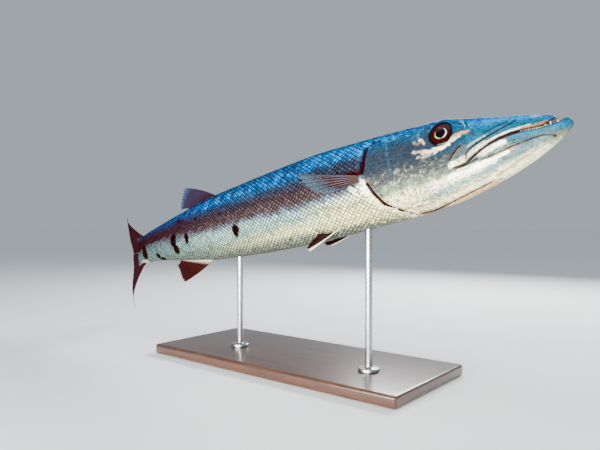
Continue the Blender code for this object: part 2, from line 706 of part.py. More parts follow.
def stand(body):
    wood = material("stand_wood", (0.10, 0.055, 0.035), 0.35)
    steel = material("stand_steel", (0.62, 0.62, 0.62), 0.3, 1.0)
    bpy.ops.mesh.primitive_cube_add(size=1.0, location=(0.0, 0.0, BASE_HEIGHT / 2))
    base = bpy.context.object
    base.name = base.data.name = "stand_base"
    base.data.transform(Matrix.Diagonal((BASE_LENGTH, BASE_WIDTH, BASE_HEIGHT, 1.0)))
    base.data.materials.append(wood)
    move_to_group(base)
    edge = base.modifiers.new("edge", "BEVEL")
    edge.width = BASE_ROUNDING
    edge.segments = 3
    edge.limit_method = "ANGLE"
    for name, t in ROD_PLACES.items():
        under = place(t, 0.0, column(t, 2))
        top = under.z + 0.02
        profile = ((0.0, top), (ROD_RADIUS, top), (ROD_RADIUS, BASE_HEIGHT + GAP + ROD_FOOT_HEIGHT),
                   (ROD_FOOT_RADIUS - 0.001, BASE_HEIGHT + GAP + ROD_FOOT_HEIGHT),
                   (ROD_FOOT_RADIUS, BASE_HEIGHT + GAP + ROD_FOOT_HEIGHT - 0.001),
                   (ROD_FOOT_RADIUS, BASE_HEIGHT + GAP), (0.0, BASE_HEIGHT + GAP))
        shape = bmesh.new()
        verts = [shape.verts.new((r, 0.0, z)) for r, z in profile]
        for a, b in zip(verts, verts[1:]):
            shape.edges.new((a, b))
        mesh = bpy.data.meshes.new(name)
        shape.to_mesh(mesh)
        shape.free()
        rod = keep(name, mesh, steel)
        rod.location = (under.x, under.y, 0.0)
        turn = rod.modifiers.new("turn", "SCREW")
        turn.angle = 2 * math.pi
        turn.steps = turn.render_steps = 18
        turn.use_merge_vertices = True
        turn.merge_threshold = 0.00001
        turn.use_normal_calculate = True
        settle(rod)
        outward(rod)
        cut(rod, body)
        smooth(rod)


def outward(target):
    shape = bmesh.new()
    shape.from_mesh(target.data)
    bmesh.ops.recalc_face_normals(shape, faces=shape.faces)
    shape.to_mesh(target.data)
    shape.free()


def move_to_group(made):
    for group in list(made.users_collection):
        group.objects.unlink(made)
    bpy.data.collections[COLLECTION_NAME].objects.link(made)


start_clean()
grown_body = loft("body_grown", FRONT_STOPS + REAR_STOPS + STEM_STOPS[:-1] + [TAIL_END + GAP / MM],
                  lambda t: GAP / MM)
deep_bed = loft("plate_bed", HEAD_STOPS[2:] + [335.0], lambda t: -PLATE_DEPTH - GAP / MM)
shallow_bed = loft("plate_back", HEAD_STOPS[2:] + [335.0], lambda t: -PLATE_DEPTH)
head_parts(deep_bed, shallow_bed)
body_parts()
fins(grown_body)
stand(grown_body)
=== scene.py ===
import math

import bpy
import numpy as np
from mathutils import Matrix, Vector


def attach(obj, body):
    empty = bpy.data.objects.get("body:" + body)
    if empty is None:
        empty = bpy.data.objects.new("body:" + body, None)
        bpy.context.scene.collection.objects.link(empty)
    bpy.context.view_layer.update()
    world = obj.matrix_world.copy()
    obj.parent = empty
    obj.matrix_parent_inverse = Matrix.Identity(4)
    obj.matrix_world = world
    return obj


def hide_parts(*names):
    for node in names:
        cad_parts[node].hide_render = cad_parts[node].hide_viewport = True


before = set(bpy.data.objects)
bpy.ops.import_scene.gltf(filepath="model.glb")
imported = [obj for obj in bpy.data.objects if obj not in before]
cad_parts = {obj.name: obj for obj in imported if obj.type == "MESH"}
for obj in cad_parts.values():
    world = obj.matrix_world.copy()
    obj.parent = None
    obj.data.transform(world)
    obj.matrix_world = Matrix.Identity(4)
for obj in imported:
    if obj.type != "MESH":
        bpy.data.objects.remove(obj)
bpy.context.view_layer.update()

# The fish's pose.
# The mount holds it swimming, nose up and banked a little to its left, with the
# tail stem and fin bent to its left.  Everything on the fish is laid out on its
# own axis first: t runs back from the lower jaw's tip, y is left, z is up.
MM = 0.001
JAW_TIP = np.array((0.488, -0.020, 0.402))
NOSE_UP = math.radians(11.5)
BANK = math.radians(-2.9)
BEND_START = 0.733
BEND_END = 1.189
BEND_ANGLE = math.radians(40.4)
BEND_POWER = 2.2
TILT = np.array(Matrix.Rotation(-NOSE_UP, 3, "Y") @ Matrix.Rotation(BANK, 3, "X"))

axis_t = np.linspace(-0.05, 1.30, 2701)
axis_heading = BEND_ANGLE * (np.clip(axis_t - BEND_START, 0, None) / (BEND_END - BEND_START)) ** BEND_POWER
axis_step = axis_t[1] - axis_t[0]
axis_x = axis_t[0] * -1 - np.concatenate(([0], np.cumsum(np.cos(axis_heading[:-1]) * axis_step)))
axis_y = np.concatenate(([0], np.cumsum(np.sin(axis_heading[:-1]) * axis_step)))


def pose(points):
    """Points of the straight fish (t, y, z in metres) as points of the model."""
    t, y, z = points[:, 0], points[:, 1], points[:, 2]
    heading = np.interp(t, axis_t, axis_heading)
    local = np.stack((np.interp(t, axis_t, axis_x) + np.sin(heading) * y,
                      np.interp(t, axis_t, axis_y) + np.cos(heading) * y, z), 1)
    return local @ TILT.T + JAW_TIP


# The skin of the head and body.
# One skin, cast in one piece from the jaws to the root of the tail fin and
# painted; the gill covers' rear edges stand free over the shoulder and the jaws
# are parted at the front.  Its sections are rounded a little flatter below.
STATIONS = np.array((
    (-1.5, 0.5, -5, 1.6),
    (2, 4.5, -8.5, 5),
    (9, 9.5, -14, 9),
    (20, 15.5, -21.5, 12),
    (50, 25.6, -36.6, 17.5),
    (90, 36.2, -51.4, 23.5),
    (130, 47.2, -62.2, 29.5),
    (170, 56.9, -70.3, 35.5),
    (230, 62.8, -76.4, 43.5),
    (311, 67.6, -79, 49.5),
    (409, 72.2, -82.3, 53.5),
    (529, 69.6, -80.5, 53.5),
    (620, 66, -76, 51),
    (709, 61.6, -69.6, 46.5),
    (769, 54, -61, 40.5),
    (829, 47.6, -51.5, 33.5),
    (889, 40.5, -42, 26.5),
    (949, 35, -36, 19),
    (985, 33, -33.5, 11),
    (1003, 32, -32.5, 5.5),
    (1016, 33, -33.5, 3.2),
    (1032, 35, -35.5, 0.9),
))
SKIN_START, SKIN_END = -1.5, 1032
ROUND_BACK = 2.35
ROUND_BELLY = 2.05
COAT_DEPTH = 0.55


def station(t, index):
    """Back, belly or half width (1, 2, 3) at t, all in millimetres."""
    xs, ys = STATIONS[:, 0], STATIONS[:, index]
    slopes = np.empty(len(xs))
    slopes[1:-1] = (ys[2:] - ys[:-2]) / (xs[2:] - xs[:-2])
    slopes[0] = (ys[1] - ys[0]) / (xs[1] - xs[0])
    slopes[-1] = (ys[-1] - ys[-2]) / (xs[-1] - xs[-2])
    k = np.clip(np.searchsorted(xs, t, side="right") - 1, 0, len(xs) - 2)
    span = xs[k + 1] - xs[k]
    h = np.clip((t - xs[k]) / span, 0, 1)
    return ((1 + 2 * h) * (1 - h) ** 2 * ys[k] + h * (1 - h) ** 2 * span * slopes[k]
            + h * h * (3 - 2 * h) * ys[k + 1] + h * h * (h - 1) * span * slopes[k + 1])


def section(t, angle):
    """y (to the left) and z on the body's section; angle 0 is the left side."""
    top, bottom, half = (station(t, index) for index in (1, 2, 3))
    c, s = np.cos(angle), np.sin(angle)
    power = np.where(s > 0, ROUND_BACK, ROUND_BELLY)
    y = half * np.sign(c) * np.abs(c) ** (2 / power)
    z = (top + bottom) / 2 + (top - bottom) / 2 * np.sign(s) * np.abs(s) ** (2 / power)
    return y, z


def smoothstep(value, low, high):
    h = np.clip((value - low) / (high - low), 0, 1)
    return h * h * (3 - 2 * h)


def falling(value, low, high):
    """1 below low, 0 above high, smooth between."""
    return 1 - smoothstep(value, low, high)


def fading(along, ends):
    """1 along a line, falling to 0 at both its ends."""
    return smoothstep(along, 0, ends) * smoothstep(1 - along, 0, ends)


def curved(points, parts=6):
    """A smooth line through a few points."""
    points = np.array(points, float)
    padded = np.vstack((2 * points[0] - points[1], points, 2 * points[-1] - points[-2]))
    line = []
    for k in range(len(points) - 1):
        p0, p1, p2, p3 = padded[k:k + 4]
        for h in np.arange(parts) / parts:
            line.append(((3 * p1 - p0 - 3 * p2 + p3) * h ** 3 + (2 * p0 - 5 * p1 + 4 * p2 - p3) * h * h
                         + (p2 - p0) * h + 2 * p1) / 2)
    return np.array(line + [points[-1]])


def near_line(t, z, points, reach=14):
    """Distance to a line in the side view, the side of it (up is +), and how
    far along it the nearest place lies, from 0 to 1."""
    line = curved(points)
    distance = np.full(t.shape, 1e9)
    side = np.ones(t.shape)
    along = np.zeros(t.shape)
    low, high = line.min(0) - reach, line.max(0) + reach
    close = np.nonzero((t > low[0]) & (t < high[0]) & (z > low[1]) & (z < high[1]))
    tc, zc = t[close], z[close]
    best = np.full(tc.shape, 1e9)
    best_side, best_along = np.ones(tc.shape), np.zeros(tc.shape)
    for k in range(len(line) - 1):
        (t0, z0), (t1, z1) = line[k], line[k + 1]
        dt, dz = t1 - t0, z1 - z0
        h = np.clip(((tc - t0) * dt + (zc - z0) * dz) / (dt * dt + dz * dz), 0, 1)
        away_t, away_z = tc - t0 - h * dt, zc - z0 - h * dz
        d = np.hypot(away_t, away_z)
        better = d < best
        best = np.where(better, d, best)
        best_side = np.where(better, np.sign(dt * away_z - dz * away_t), best_side)
        best_along = np.where(better, (k + h) / (len(line) - 1), best_along)
    distance[close], side[close], along[close] = best, best_side, best_along
    return distance, side, along


GILL_EDGE = ((262, 90), (268, 58), (273, 54), (279.5, 50), (286.7, 45.5), (290, 36), (293, 26), (294.8, 17),
             (296.5, 9), (299, 2), (299.2, -4), (296.6, -11), (293.4, -15.5), (289.4, -24), (284.2, -34),
             (278, -44), (270, -54), (260, -61.2), (250, -67), (241, -73), (236, -78), (232, -90))
GILL_GAP = ((-90, 0), (-77, 1.6), (-71, 6.6), (-62, 9.6), (-54, 8.8), (-24, 7.4), (-15, 5.4), (-11, 1.4),
            (-3, 1.4), (3, 4.2), (9, 7.2), (17, 8.2), (27, 7.4), (46, 6.2), (52, 6.5), (56, 0))
GILL_REAR = 300.5
GILL_FOLD = ((-6, 0, 1.2), (-3.2, 0, 1.4), (-1.4, 0, 1.4), (-0.5, 0, 1.2), (0, 0, 0.8), (-0.3, 0, 0.3),
             (-1.2, 0, -0.3), (-2.2, 0, -0.9), (-2, 0, -1.5), (-0.8, 0.2, -1.8), (0, 0.5, -1.8),
             (0, 0.8, -1.6), (0, 1, -1.4), (0.9, 1, -1.1), (2.4, 1, -0.8), (6, 1, -0.5))
UPPER_LIP = ((16.4, 10.2), (18, 8.4), (21, 6.8), (25, 5.2), (29, 3.6), (33, 2.5), (40, 2.2), (50, 2.8),
             (62, 3.4), (76, 3), (90, 0.6), (108, -5.2), (126, -14.8), (141, -22.8), (161, -25.2))
LOWER_LIP = ((7, 6), (13, 3), (20, 1.2), (26, 0.5), (33, 0.2), (40, 0.3), (50, 0.9), (62, 1.5), (76, 1),
             (90, -1.2), (108, -6.6), (126, -15.8), (141, -23.5), (161, -26))
SNOUT_TIP = ((24, 19), (19.6, 14.2), (17.6, 10.6))
MAXILLA_TOP = ((60, 22), (75, 17), (95, 10.5), (112, 4.6), (124, -0.6), (131.5, -5.5), (135.6, -9.5),
               (137.4, -14.5), (138.6, -20))
SNOUT_FOLD = ((72, 22), (84, 20.5), (100, 16.5), (112, 12.5))
JAW_FOLD = ((22, -13.6), (35, -10.8), (50, -11.7), (67, -14.2), (82, -16.8), (98, -20), (108, -22),
            (122, -23.6))
JAW_CORNER = ((119, -19.8), (125, -21.2), (133, -23.8), (142, -25.8), (150, -26.6), (160, -25.4))
MAXILLA_END = ((163, -14), (165, -20), (168, -28))
JAW_PORE = (21.5, -15)
CHEEK_CREASE = ((141.5, 5.4), (147, 2), (153, -3.6), (158.5, -8.6), (163, -14))
PREOPERCLE = ((226, 14), (230, 0.7), (238, -15), (241.5, -30), (241, -46), (232, -60), (212, -63))
JAW_REAR = ((160, -27), (169, -36), (172, -50), (166, -62))
THROAT_LINE = ((108, -52.4), (123, -56.8), (142, -61.4), (161, -65.6), (181, -69.8), (201.5, -73.2),
               (222, -75.4), (238, -76.6))
EYE_T, EYE_Z, EYE_OPENING, EYE_TALLER = 169.8, 31.3, 17.5, 1.05
NOSTRILS = ((133.2, 37.5, 2), (141.2, 39, 1.6))
NAPE_START, NAPE_HEIGHT = 206.0, 54.0

gill_line = curved(GILL_EDGE, 8)[::-1]


def gill_edge_at(z):
    return np.interp(z, gill_line[:, 1], gill_line[:, 0])


def gill_gap_at(z):
    return np.interp(z, *np.array(GILL_GAP).T)


def relief(t, z, scaled):
    """How far the modelled skin stands from the plain section, in millimetres."""
    out = np.zeros(t.shape)

    def groove(line, depth, width, rise=0, spread=9, ends=0.12):
        distance, side, along = near_line(t, z, line)
        cut = -depth * np.exp(-(distance / width) ** 2)
        swell = rise * np.where(side < 0, np.exp(-(distance / spread) ** 2), 0)
        return (cut + swell) * fading(along, ends)

    out += groove(MAXILLA_TOP, 1.3, 1.4, 1.1, 11)
    out += groove(SNOUT_FOLD, 0.6, 1.3, 0.4, 7)
    out += groove(JAW_FOLD, 0.9, 1.4, 0.7, 9)
    out += groove(JAW_CORNER, 1.2, 1.3)
    out += groove(CHEEK_CREASE, 1.2, 1.5, 0.8, 9)
    out += groove(PREOPERCLE, 0.35, 2.4, 0.6, 12)
    out += groove(JAW_REAR, 0.5, 1.6)
    out += groove(THROAT_LINE, 1.1, 1.4, 0.6, 8, 0.06)
    for lip in (UPPER_LIP, LOWER_LIP):
        distance, side, along = near_line(t, z, lip)
        at_jaw = falling(along, 0.93, 1)
        out += (0.9 * np.exp(-((distance - 4) / 2.6) ** 2) - 1.7 * np.exp(-(distance / 1.5) ** 2)) * at_jaw
    around = np.hypot(t - EYE_T, (z - EYE_Z) / EYE_TALLER)
    out += 1.1 * np.exp(-((around - EYE_OPENING - 2.6) / 2.2) ** 2)
    out -= 4 * falling(around, EYE_OPENING - 0.8, EYE_OPENING + 0.8)
    out += 1.2 * np.exp(-((t - 172) / 26) ** 2) * smoothstep(z, 44, 54)
    out -= 1.6 * np.exp(-(np.hypot(t - JAW_PORE[0], z - JAW_PORE[1]) / 1.3) ** 2)
    for nt, nz, size in NOSTRILS:
        away = np.hypot(t - nt, z - nz)
        out += 0.7 * np.exp(-(away - size) ** 2) - 2.2 * np.exp(-(away / (size * 0.62)) ** 2)
    return out * falling(t, 296, 300) - COAT_DEPTH * scaled


def mesh_object(name, verts, faces, smooth=True):
    mesh = bpy.data.meshes.new(name)
    mesh.from_pydata(verts.tolist(), [], faces.tolist() if isinstance(faces, np.ndarray) else faces)
    mesh.update()
    if smooth:
        mesh.shade_smooth()
    made = bpy.data.objects.new(name, mesh)
    bpy.context.scene.collection.objects.link(made)
    return made


def store(made, name, values, kind="FLOAT_VECTOR"):
    """Keeps a value for each vertex, which the paint reads."""
    layer = made.data.attributes.new(name, kind, "POINT")
    layer.data.foreach_set("vector" if kind == "FLOAT_VECTOR" else "value", values.astype(np.float32).ravel())


def sheet_faces(grid):
    """Quads of an open grid of vertex numbers."""
    return np.stack((grid[:-1, :-1], grid[:-1, 1:], grid[1:, 1:], grid[1:, :-1]), -1).reshape(-1, 4)


def ring_faces(grid):
    """The same for a grid of closed rings."""
    return sheet_faces(np.hstack((grid, grid[:, :1])))


def unit(vectors):
    return vectors / (np.linalg.norm(vectors, axis=-1, keepdims=True) + 1e-12)


def skin_surface(rows, columns):
    """The skin's grid: one ring for each row, warped to lie along the gill edge."""
    nominal, fold_t, fold_wide, fold_out = (rows[:, k:k + 1] for k in range(4))
    angles = np.broadcast_to(np.linspace(0, 2 * math.pi, columns, endpoint=False) + math.pi / 2,
                             (len(rows), columns))
    z = section(np.broadcast_to(nominal, angles.shape), angles)[1]
    pull = smoothstep(nominal, 165, GILL_REAR) * falling(nominal, GILL_REAR, 420)
    has_fold = falling(z, 47, 57)
    t = nominal + (gill_edge_at(z) - GILL_REAR) * pull
    t = t + (fold_t + fold_wide * gill_gap_at(z)) * has_fold
    y, z = section(np.clip(t, SKIN_START, SKIN_END), angles)
    scaled = smoothstep(nominal, GILL_REAR + 0.5, GILL_REAR + 8) * smoothstep(t, NAPE_START, NAPE_START + 8)
    nape = smoothstep(z, 50, 56) * smoothstep(t, 200, 220) * (1 - scaled)
    out = relief(t, z, np.clip(scaled + nape, 0, 1)) + fold_out * has_fold
    out += 1.5 * np.exp(-((GILL_REAR - nominal) / 26) ** 2) * (nominal < GILL_REAR - 6) * has_fold
    return t, y, z, out


def outward(t, y, z):
    """Unit normals of a grid of rings."""
    points = np.stack((t, y, z), -1)
    normal = unit(np.cross(np.roll(points, -1, 1) - np.roll(points, 1, 1), np.gradient(points, axis=0)))
    flip = np.sign(((points - points.mean(1, keepdims=True)) * normal).sum(-1, keepdims=True))
    return normal * np.where(flip == 0, 1, flip)


def plain_rows(*stretches):
    """Rows of the grid with no fold in them."""
    return [(t, 0, 0, 0) for t in np.concatenate(stretches)]


COLUMNS = 300
FLIP = [0, 3, 2, 1]  # a quad's corners the other way round
head_rows = plain_rows(np.linspace(SKIN_START, 9, 10, endpoint=False), np.arange(9, GILL_REAR - 6.4, 1))
fold_rows = [(GILL_REAR + 0.3 * k, *fold) for k, fold in enumerate(GILL_FOLD)]
body_rows = plain_rows(np.linspace(315, 420, 44, endpoint=False), np.linspace(420, SKIN_END, 126))
rows = np.array(head_rows + fold_rows + body_rows)
t, y, z, out = skin_surface(rows, COLUMNS)
normal = outward(t, y, z)
# The fold's rows all stand out along the normal of the plain skin ahead of it.
fold_start = len(head_rows)
normal[fold_start - 2:fold_start + len(fold_rows) + 2] = normal[fold_start - 3]
straight = np.stack((t, y, z), -1) + normal * out[..., None]
grid = np.arange(t.size).reshape(t.shape)
faces = ring_faces(grid)[:, FLIP].tolist() + [grid[0].tolist(), grid[-1][::-1].tolist()]
skin = mesh_object("barracuda_skin", straight.reshape(-1, 3) * MM, faces)


def apply_modifiers(made):
    """Turns an object's modifiers into its mesh."""
    bpy.context.view_layer.update()
    seen = made.evaluated_get(bpy.context.evaluated_depsgraph_get())
    mesh = bpy.data.meshes.new_from_object(seen)
    made.modifiers.clear()
    made.data = mesh


# The mouth's opening is cut with one wedge between the two lips' lines.
wedge_line = np.vstack(([(-20, 40)], curved(SNOUT_TIP), curved(UPPER_LIP), curved(LOWER_LIP)[::-1],
                        [(-20, 12)]))
wedge_points = np.vstack([np.insert(wedge_line, 1, across, axis=1) for across in (-70, 70)]) * MM
wedge_ring = np.arange(len(wedge_points)).reshape(2, -1)
wedge_sides = ring_faces(wedge_ring)[:, [1, 0, 3, 2]].tolist()
wedge_faces = [wedge_ring[0].tolist(), wedge_ring[1][::-1].tolist(), *wedge_sides]
wedge = mesh_object("mouth_wedge", wedge_points, wedge_faces, smooth=False)
wedge_is_inside_out = sum(f.normal.y for f in wedge.data.polygons[:1]) > 0
if wedge_is_inside_out:
    wedge.data.flip_normals()


def tone(red, green, blue):
    """A paint's colour, from 0 to 1, from its 0 to 255 display values."""
    return np.array((red, green, blue)) / 255


def scene_values(paint):
    """The light values of paints given as display values from 0 to 1."""
    paint = np.clip(paint, 0, 1)
    return np.where(paint <= 0.04045, paint / 12.92, ((paint + 0.055) / 1.055) ** 2.4)


def colour(red, green, blue):
    """A paint's colour for a shader's socket."""
    return (*map(float, scene_values(tone(red, green, blue))), 1)


def new_material(name):
    made = bpy.data.materials.new(name)
    made.use_nodes = True
    return made, made.node_tree, made.node_tree.nodes["Principled BSDF"]


def plug(tree, node, feeds):
    """Sets a node's sockets, or links them where the value is a socket."""
    for key, value in feeds.items():
        if isinstance(value, bpy.types.NodeSocket):
            tree.links.new(value, node.inputs[key])
        else:
            node.inputs[key].default_value = value
    return node


def add(tree, kind, feeds=None, **settings):
    node = tree.nodes.new(kind)
    for key, value in settings.items():
        setattr(node, key, value)
    return plug(tree, node, feeds or {})


def sum_of(tree, operation, first, second=0, third=0):
    return add(tree, "ShaderNodeMath", {0: first, 1: second, 2: third}, operation=operation).outputs[0]


def times(tree, first, second):
    return sum_of(tree, "MULTIPLY", first, second)


def scaled_by(tree, shade, amount):
    return add(tree, "ShaderNodeVectorMath", {0: shade, "Scale": amount}, operation="SCALE").outputs[0]


def between(tree, value, low, high):
    """0 below low, 1 above high, smooth between."""
    return add(tree, "ShaderNodeMapRange", {"Value": value, "From Min": low, "From Max": high},
               interpolation_type="SMOOTHSTEP").outputs["Result"]


def blend(tree, factor, first, second, kind="MIX"):
    return add(tree, "ShaderNodeMix", {0: factor, 6: first, 7: second}, data_type="RGBA", blend_type=kind,
               clamp_factor=True).outputs[2]


def attribute(tree, name, outlet="Vector"):
    return add(tree, "ShaderNodeAttribute", attribute_name=name).outputs[outlet]


def parts_of(tree, vector):
    return add(tree, "ShaderNodeSeparateXYZ", {0: vector}).outputs


def noise(tree, scale, detail, place=None, **more):
    """Cloudy values from 0 to 1."""
    feeds = {"Scale": scale, "Detail": detail, **more}
    if place is not None:
        feeds["Vector"] = place
    return add(tree, "ShaderNodeTexNoise", feeds).outputs[0]


def stretched(tree, place, scale):
    return add(tree, "ShaderNodeMapping", {"Vector": place, "Scale": scale}).outputs[0]


def bumps(tree, height, strength, distance):
    return add(tree, "ShaderNodeBump", {"Height": height, "Strength": strength,
                                        "Distance": distance}).outputs[0]


def ramp(tree, value, stops):
    node = add(tree, "ShaderNodeValToRGB", {0: value})
    elements = node.color_ramp.elements
    for k, (place, shade) in enumerate((stops[0], stops[-1], *stops[1:-1])):
        element = elements[k] if k < 2 else elements.new(place)
        element.position, element.color = place, colour(*shade)
    return node.outputs["Color"]


def new_group(name, inputs, outputs):
    """A shader group; its inputs are (name, kind, value), its outputs (name, kind)."""
    tree = bpy.data.node_groups.new(name, "ShaderNodeTree")
    for title, kind, value in inputs:
        tree.interface.new_socket(name=title, in_out="INPUT",
                                  socket_type="NodeSocket" + kind).default_value = value
    for title, kind in outputs:
        tree.interface.new_socket(name=title, in_out="OUTPUT", socket_type="NodeSocket" + kind)
    return tree, tree.nodes.new("NodeGroupInput").outputs, tree.nodes.new("NodeGroupOutput")


def place_group(tree, group, feeds):
    return add(tree, "ShaderNodeGroup", feeds, node_tree=group).outputs


def finish_piece(piece, paint, slot, *nodes):
    """A piece's paint, the body it rides on and the nodes it stands for; its slot is not used."""
    piece.data.materials.append(paint)
    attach(piece, "root")
    if nodes:
        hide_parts(*nodes)


# The paint of the fish: flat coats first, each laid over the one below down to
# a line along the side, then brush strokes for the face, the band's blotches
# and the shaded folds.  Every vertex keeps its own mix; the shaders add grain.
def ripple(t, z, size, start=0):
    """Uneven waves from -1 to 1 that roughen a painted edge."""
    u, v = t / size + start, z / size - start
    return (np.sin(1.7 * u + 1.9 * np.sin(1.3 * v + start)) + np.sin(2.3 * v + 1.6 * np.sin(1.1 * u))
            + 0.6 * np.sin(4.1 * u - 3.7 * v + 2 * np.sin(1.9 * v))) / 2.6


def coat_over(paint, mask, shade):
    return paint + (shade - paint) * mask[:, None]


def above(t, z, edge, soft, front=0, rough=0):
    """1 above a line of (t, z) places, 0 below it."""
    line = np.array(edge)
    rise = z - np.interp(t, line[:, 0], line[:, 1]) + rough * ripple(t, z, 9, front)
    return smoothstep(rise, -soft, soft)


def brushed(t, z, line, width, soft, rough=0):
    """1 along a brush stroke, fading at its sides."""
    distance, _, _ = near_line(t, z, line, reach=width + soft + rough + 1)
    return falling(distance + rough * ripple(t, z, 3.1, width), max(width - soft, 0), width + soft)


BAND_EDGE = ((290, -13), (430, -18), (480, -17), (530, -15), (680, -12), (740, -9), (780, -5), (820, -2),
             (900, -1), (1040, -2))
BELLY_EDGE = ((220, -76), (330, -74.5), (430, -71), (520, -69), (580, -67), (630, -66), (680, -64),
              (730, -56), (780, -43), (840, -36), (1040, -30))
# Each coat covers the side above a line: the line, how soft and how rough it
# is, the paint at the front and at the rear, and between which t it changes.
BODY_COATS = (
    # The first coat's cream turns grey toward the tail, partly as painted shade.
    (BELLY_EDGE, 5, 2.5, (255, 255, 184), (98, 118, 106), 440, 760),
    (((300, -34), (350, -41), (400, -47), (430, -50), (620, -50), (700, -45), (1040, -40)),
     8, 3, (156, 194, 182), (96, 122, 118), 640, 860),
    (((300, -25), (430, -30), (600, -24), (840, -15), (1040, -15)),
     5, 4, (114, 132, 152), (102, 128, 124), 620, 900),
    (((300, -17), (430, -23), (600, -19), (760, -17), (1040, -12)),
     4, 4, (86, 84, 88), (84, 94, 102), 560, 880),
    (BAND_EDGE, 4.5, 4, (72, 59, 60), (54, 28, 38), 560, 860),
    (((300, 1), (600, 1), (1040, 1)), 6, 4, (56, 43, 50), (50, 22, 30), 600, 880),
    (((300, 9), (600, 12), (840, 16), (900, 16.5), (1040, 22)), 6, 4, (46, 52, 68), (47, 36, 62), 580, 820),
    (((300, 33), (380, 32), (440, 22), (600, 21), (840, 23), (900, 23.5), (1040, 26)),
     5, 4, (34, 78, 118), (36, 50, 96), 480, 840),
    (((300, 42), (380, 40), (440, 31), (600, 29), (1040, 33)), 5, 4, (26, 80, 134), (20, 46, 104), 480, 860),
)
CLUSTER_FIRST, CLUSTER_STEP, CLUSTER_HEIGHT = 444, 33.8, 39
BLOTCHES = ((600.5, -29.5, 10.5, 10.5), (602.5, -37, 6.5, 8), (808, -6.5, 13, 8), (811, -15.5, 12, 10),
            (807, -32, 11.5, 10), (757, -15.5, 8.5, 10), (758, -22.5, 6, 7), (955, -5, 15, 9),
            (957, -16, 19, 13), (893, -31.5, 9, 6.5), (884, -39.5, 12, 3.5), (788.5, 31, 7, 6.5),
            (640, 10, 4, 3), (720, 17, 5, 3))


def clusters(t, z):
    """Where the back's bright spots gather, from 0 to 1."""
    nearest = (t - CLUSTER_FIRST + CLUSTER_STEP / 2) % CLUSTER_STEP - CLUSTER_STEP / 2
    spots = np.exp(-(nearest / 9.5) ** 4 - ((z - CLUSTER_HEIGHT) / 7) ** 4) * smoothstep(t, 420, 436)
    spots = spots * (1 - 0.7 * smoothstep(t, 690, 730))
    front = smoothstep(z, 34, 42) * falling(z, 60, 68) * falling(t, 400, 440)
    return np.maximum(spots, front * 0.6)


def lay_coats(paint, t, z, coats):
    for edge, soft, rough, front_tone, rear_tone, begin, end in coats:
        rear = smoothstep(t, begin, end)[:, None]
        shade = tone(*front_tone) * (1 - rear) + tone(*rear_tone) * rear
        paint = coat_over(paint, above(t, z, edge, soft, edge[0][1], rough), shade)
    return paint


def lay_strokes(paint, t, z, strokes):
    for line, width, soft, rough, strength, shade in strokes:
        paint = coat_over(paint, strength * brushed(t, z, line, width, soft, rough), tone(*shade))
    return paint


def body_paint(t, z):
    rear = smoothstep(t, 480, 880)[:, None]
    # The underside below the belly's edge keeps this grey-green, darker than the flank: its own colour with painted
    # shade under the belly.
    paint = np.tile(tone(118, 126, 110), (len(t), 1)) * (1 - rear) + tone(108, 122, 108) * rear
    paint = lay_coats(paint, t, z, BODY_COATS)
    warm = smoothstep(z, -52, -44) * falling(z, -32, -24) * falling(t, 370, 430)
    paint = coat_over(paint, warm * 0.6, tone(190, 190, 140))
    stem = smoothstep(t, 925, 985) * smoothstep(z, -6, -1) * falling(z, 16, 24)
    paint = coat_over(paint, stem * 0.85, tone(62, 2, 8))
    spots = clusters(t, z)
    gaps = smoothstep(z, 22, 36) * smoothstep(t, 425, 440) * falling(t, 740, 800)
    paint = coat_over(paint, gaps * (1 - spots) * 0.45, tone(30, 54, 96))
    return coat_over(paint, spots * 0.9, tone(2, 122, 200))


# Each stroke: its line, half width, softness, roughness, strength and paint.
BODY_STROKES = (
    # A dark streak above the pectoral fin's root: its dark base and the fin's painted shadow.
    (((349, 12), (336, 9), (322, 5.5)), 5, 2.5, 1.5, 0.8, (34, 16, 34)),
    (((326, 6), (314, 4), (304, 4), (298, 8)), 4, 1.5, 1, 0.95, (40, 2, 4)),
    (((306, -2), (301, -1.5)), 2.4, 1.2, 0, 1, (20, 110, 150)),
    (((313, -10), (306, -9.5), (300, -15), (295, -24)), 4, 2, 0, 1, (255, 252, 214)),
    (((314, -17), (308, -22), (301, -32)), 4.5, 2, 0.6, 0.9, (240, 236, 200)),
    (((329, -13.5), (326, -19), (321, -24.5)), 3.4, 1.5, 0.4, 0.95, (255, 250, 214)),
    (((326, -24.5), (325.5, -25)), 1.5, 0.7, 0.2, 0.9, (60, 6, 6)),
    # A dark patch under the second dorsal fin: the band's dark paint and the fin's painted shadow.
    (((796, 25), (782, 23), (768, 21)), 6, 5, 2, 0.5, (44, 8, 18)),
    (((1003, -30), (984, -30.5), (962, -33.5)), 4, 2.5, 1, 0.9, (255, 255, 222)),
)


def body_marks(paint, t, z):
    """The trunk's and tail's sharp-edged marks, over the coats."""
    for spot_t, spot_z, wide, tall in BLOTCHES:
        away = np.hypot((t - spot_t) / wide, (z - spot_z) / tall) + 0.05 * ripple(t, z, 3.3, spot_t)
        paint = coat_over(paint, falling(away, 0.88, 1.04), tone(28, 2, 3))
    return lay_strokes(paint, t, z, BODY_STROKES)


